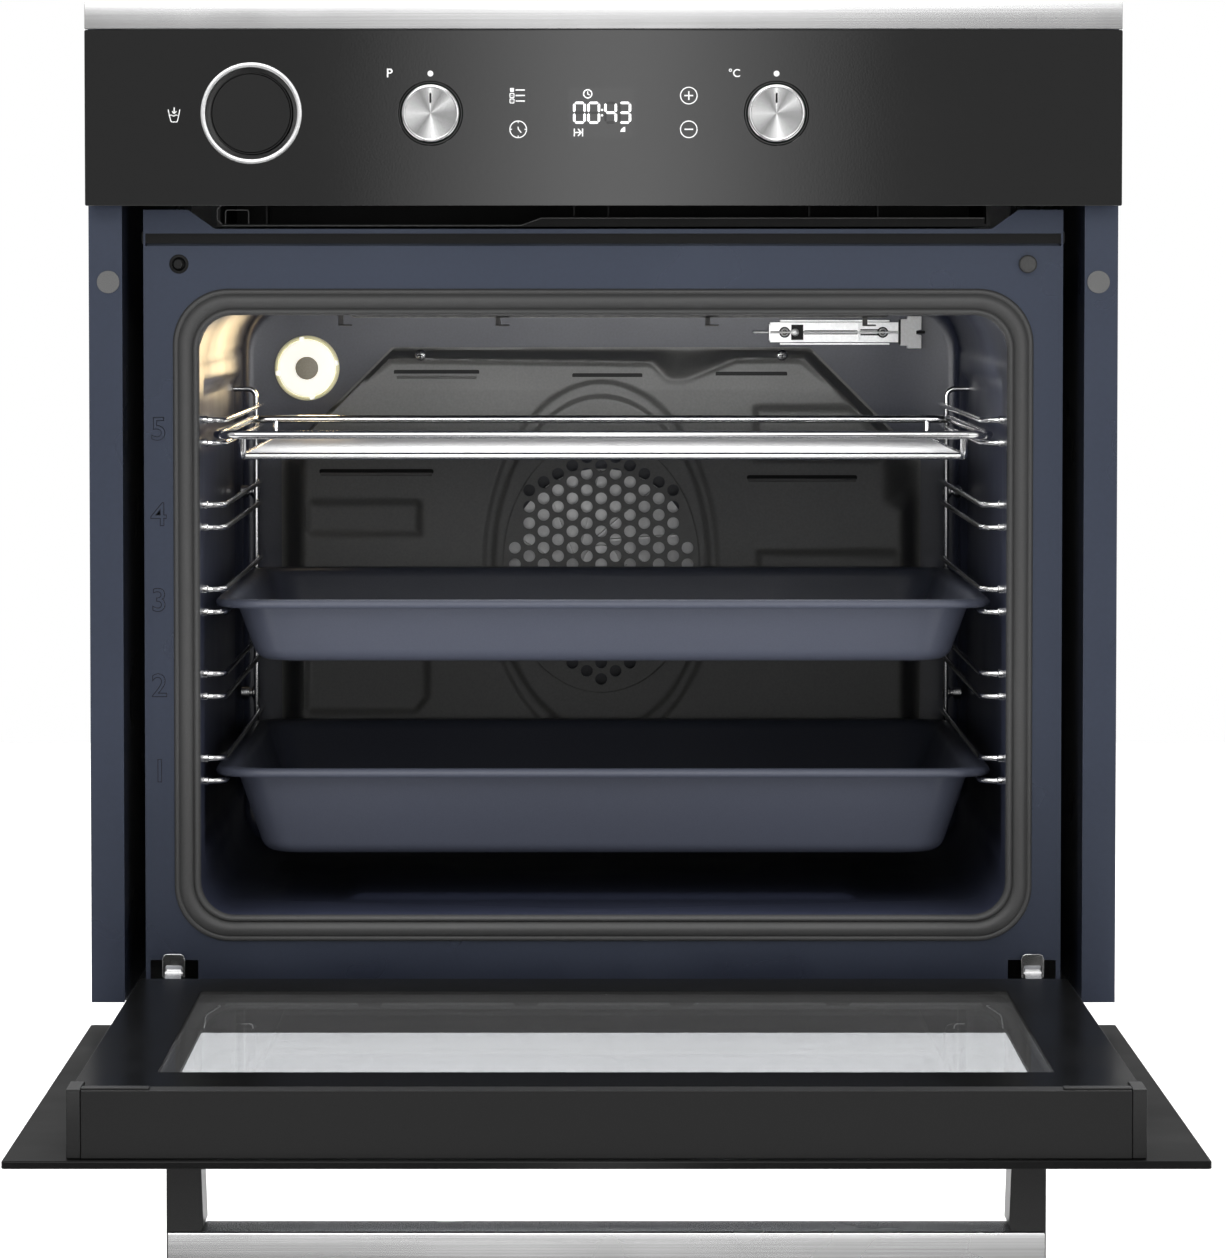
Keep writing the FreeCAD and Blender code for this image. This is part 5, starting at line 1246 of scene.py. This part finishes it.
def make_world():
    """White to the eye, and a softly graded studio to the pieces that reflect it: an even
    light grey with one tall bright panel straight in front of the oven."""
    world = bpy.data.worlds.new("studio")
    bpy.context.scene.world = world
    world.use_nodes = True
    tree = world.node_tree
    links = tree.links

    def math_node(operation, first, second):
        node = tree.nodes.new("ShaderNodeMath")
        node.operation = operation
        for socket, value in zip(node.inputs, (first, second)):
            if isinstance(value, float):
                socket.default_value = value
            else:
                links.new(value, socket)
        return node.outputs["Value"]

    coord = tree.nodes.new("ShaderNodeTexCoord")
    parts = tree.nodes.new("ShaderNodeSeparateXYZ")
    links.new(coord.outputs["Generated"], parts.inputs["Vector"])
    ahead = math_node("MULTIPLY", parts.outputs["Y"], -1.0)
    slope = math_node("DIVIDE", parts.outputs["X"], math_node("MAXIMUM", ahead, 0.05))
    aside = math_node("ABSOLUTE", math_node("SUBTRACT", slope, 0.006), 0.0)
    band = range_node(tree, aside, 1.0, 0.0, 0.006, 0.052)
    band = math_node("MULTIPLY", band, math_node("GREATER_THAN", ahead, 0.3))
    even = range_node(tree, parts.outputs["Z"], STUDIO_LOW, STUDIO, -0.16, -0.05)
    level = math_node("ADD", math_node("MULTIPLY", band, STUDIO_PANEL - STUDIO), even)
    studio = tree.nodes["Background"]
    links.new(level, studio.inputs["Strength"])
    white = tree.nodes.new("ShaderNodeBackground")
    white.inputs["Color"].default_value = (1.0, 1.0, 1.0, 1.0)
    studio.inputs["Color"].default_value = (1.0, 1.0, 1.0, 1.0)
    path = tree.nodes.new("ShaderNodeLightPath")
    seen = math_node("MAXIMUM", path.outputs["Is Camera Ray"],
        path.outputs["Is Transmission Ray"])
    mix = tree.nodes.new("ShaderNodeMixShader")
    links.new(seen, mix.inputs["Fac"])
    links.new(studio.outputs["Background"], mix.inputs[1])
    links.new(white.outputs["Background"], mix.inputs[2])
    links.new(mix.outputs["Shader"], tree.nodes["World Output"].inputs["Surface"])


def make_camera():
    data = bpy.data.cameras.new("camera")
    data.sensor_width = 36.0
    data.lens = 151.776
    data.shift_x = 0.02188
    data.shift_y = -0.09334
    data.clip_start, data.clip_end = 0.05, 60.0
    camera = bpy.data.objects.new("camera", data)
    camera.location = (-0.01033, -3.345605, 0.423426)
    camera.rotation_euler = (math.radians(87.4315), 0.0, 0.0)
    bpy.context.scene.collection.objects.link(camera)
    bpy.context.scene.camera = camera


make_world()
make_camera()
make_floor(-0.45, 4.5, -1.5, 6.5)
area_light("key", (-0.6, -4.2, 2.6), (0, -0.3, 0.25), (3.0, 2.0), 70.0)
area_light("fill", (2.2, -3.4, 0.9), (0, 0, 0.3), (1.6, 2.2), 20.0)
area_light("top", (0, 0.6, 3.4), (0, 0.6, 0), (4.0, 4.0), 110.0)
area_light("back_wash", (0, 4.0, 3.4), (0, 4.2, -0.45), (9.0, 5.0), 420.0)
area_light("cavity_glow", (0, -0.16, 0.392), (0, 0.10, 0.10), (0.40, 0.10), 1.0)
area_light("lamp_light", (-0.186, 0.140, 0.361), (-0.24, 0.03, 0.37), (0.03, 0.03), 0.035,
    (1.0, 0.74, 0.40), hidden=("camera",))
area_light("low_front", (0, -2.4, -0.36), (0, 0, 0.16), (2.6, 0.24), 44.0, hidden=("glossy",))
area_light("cavity_fill", (0, -0.27, 0.20), (0, 0.15, 0.15), (0.42, 0.30), 0.7,
    hidden=("camera", "glossy"))
bpy.context.scene.view_settings.view_transform = "Standard"
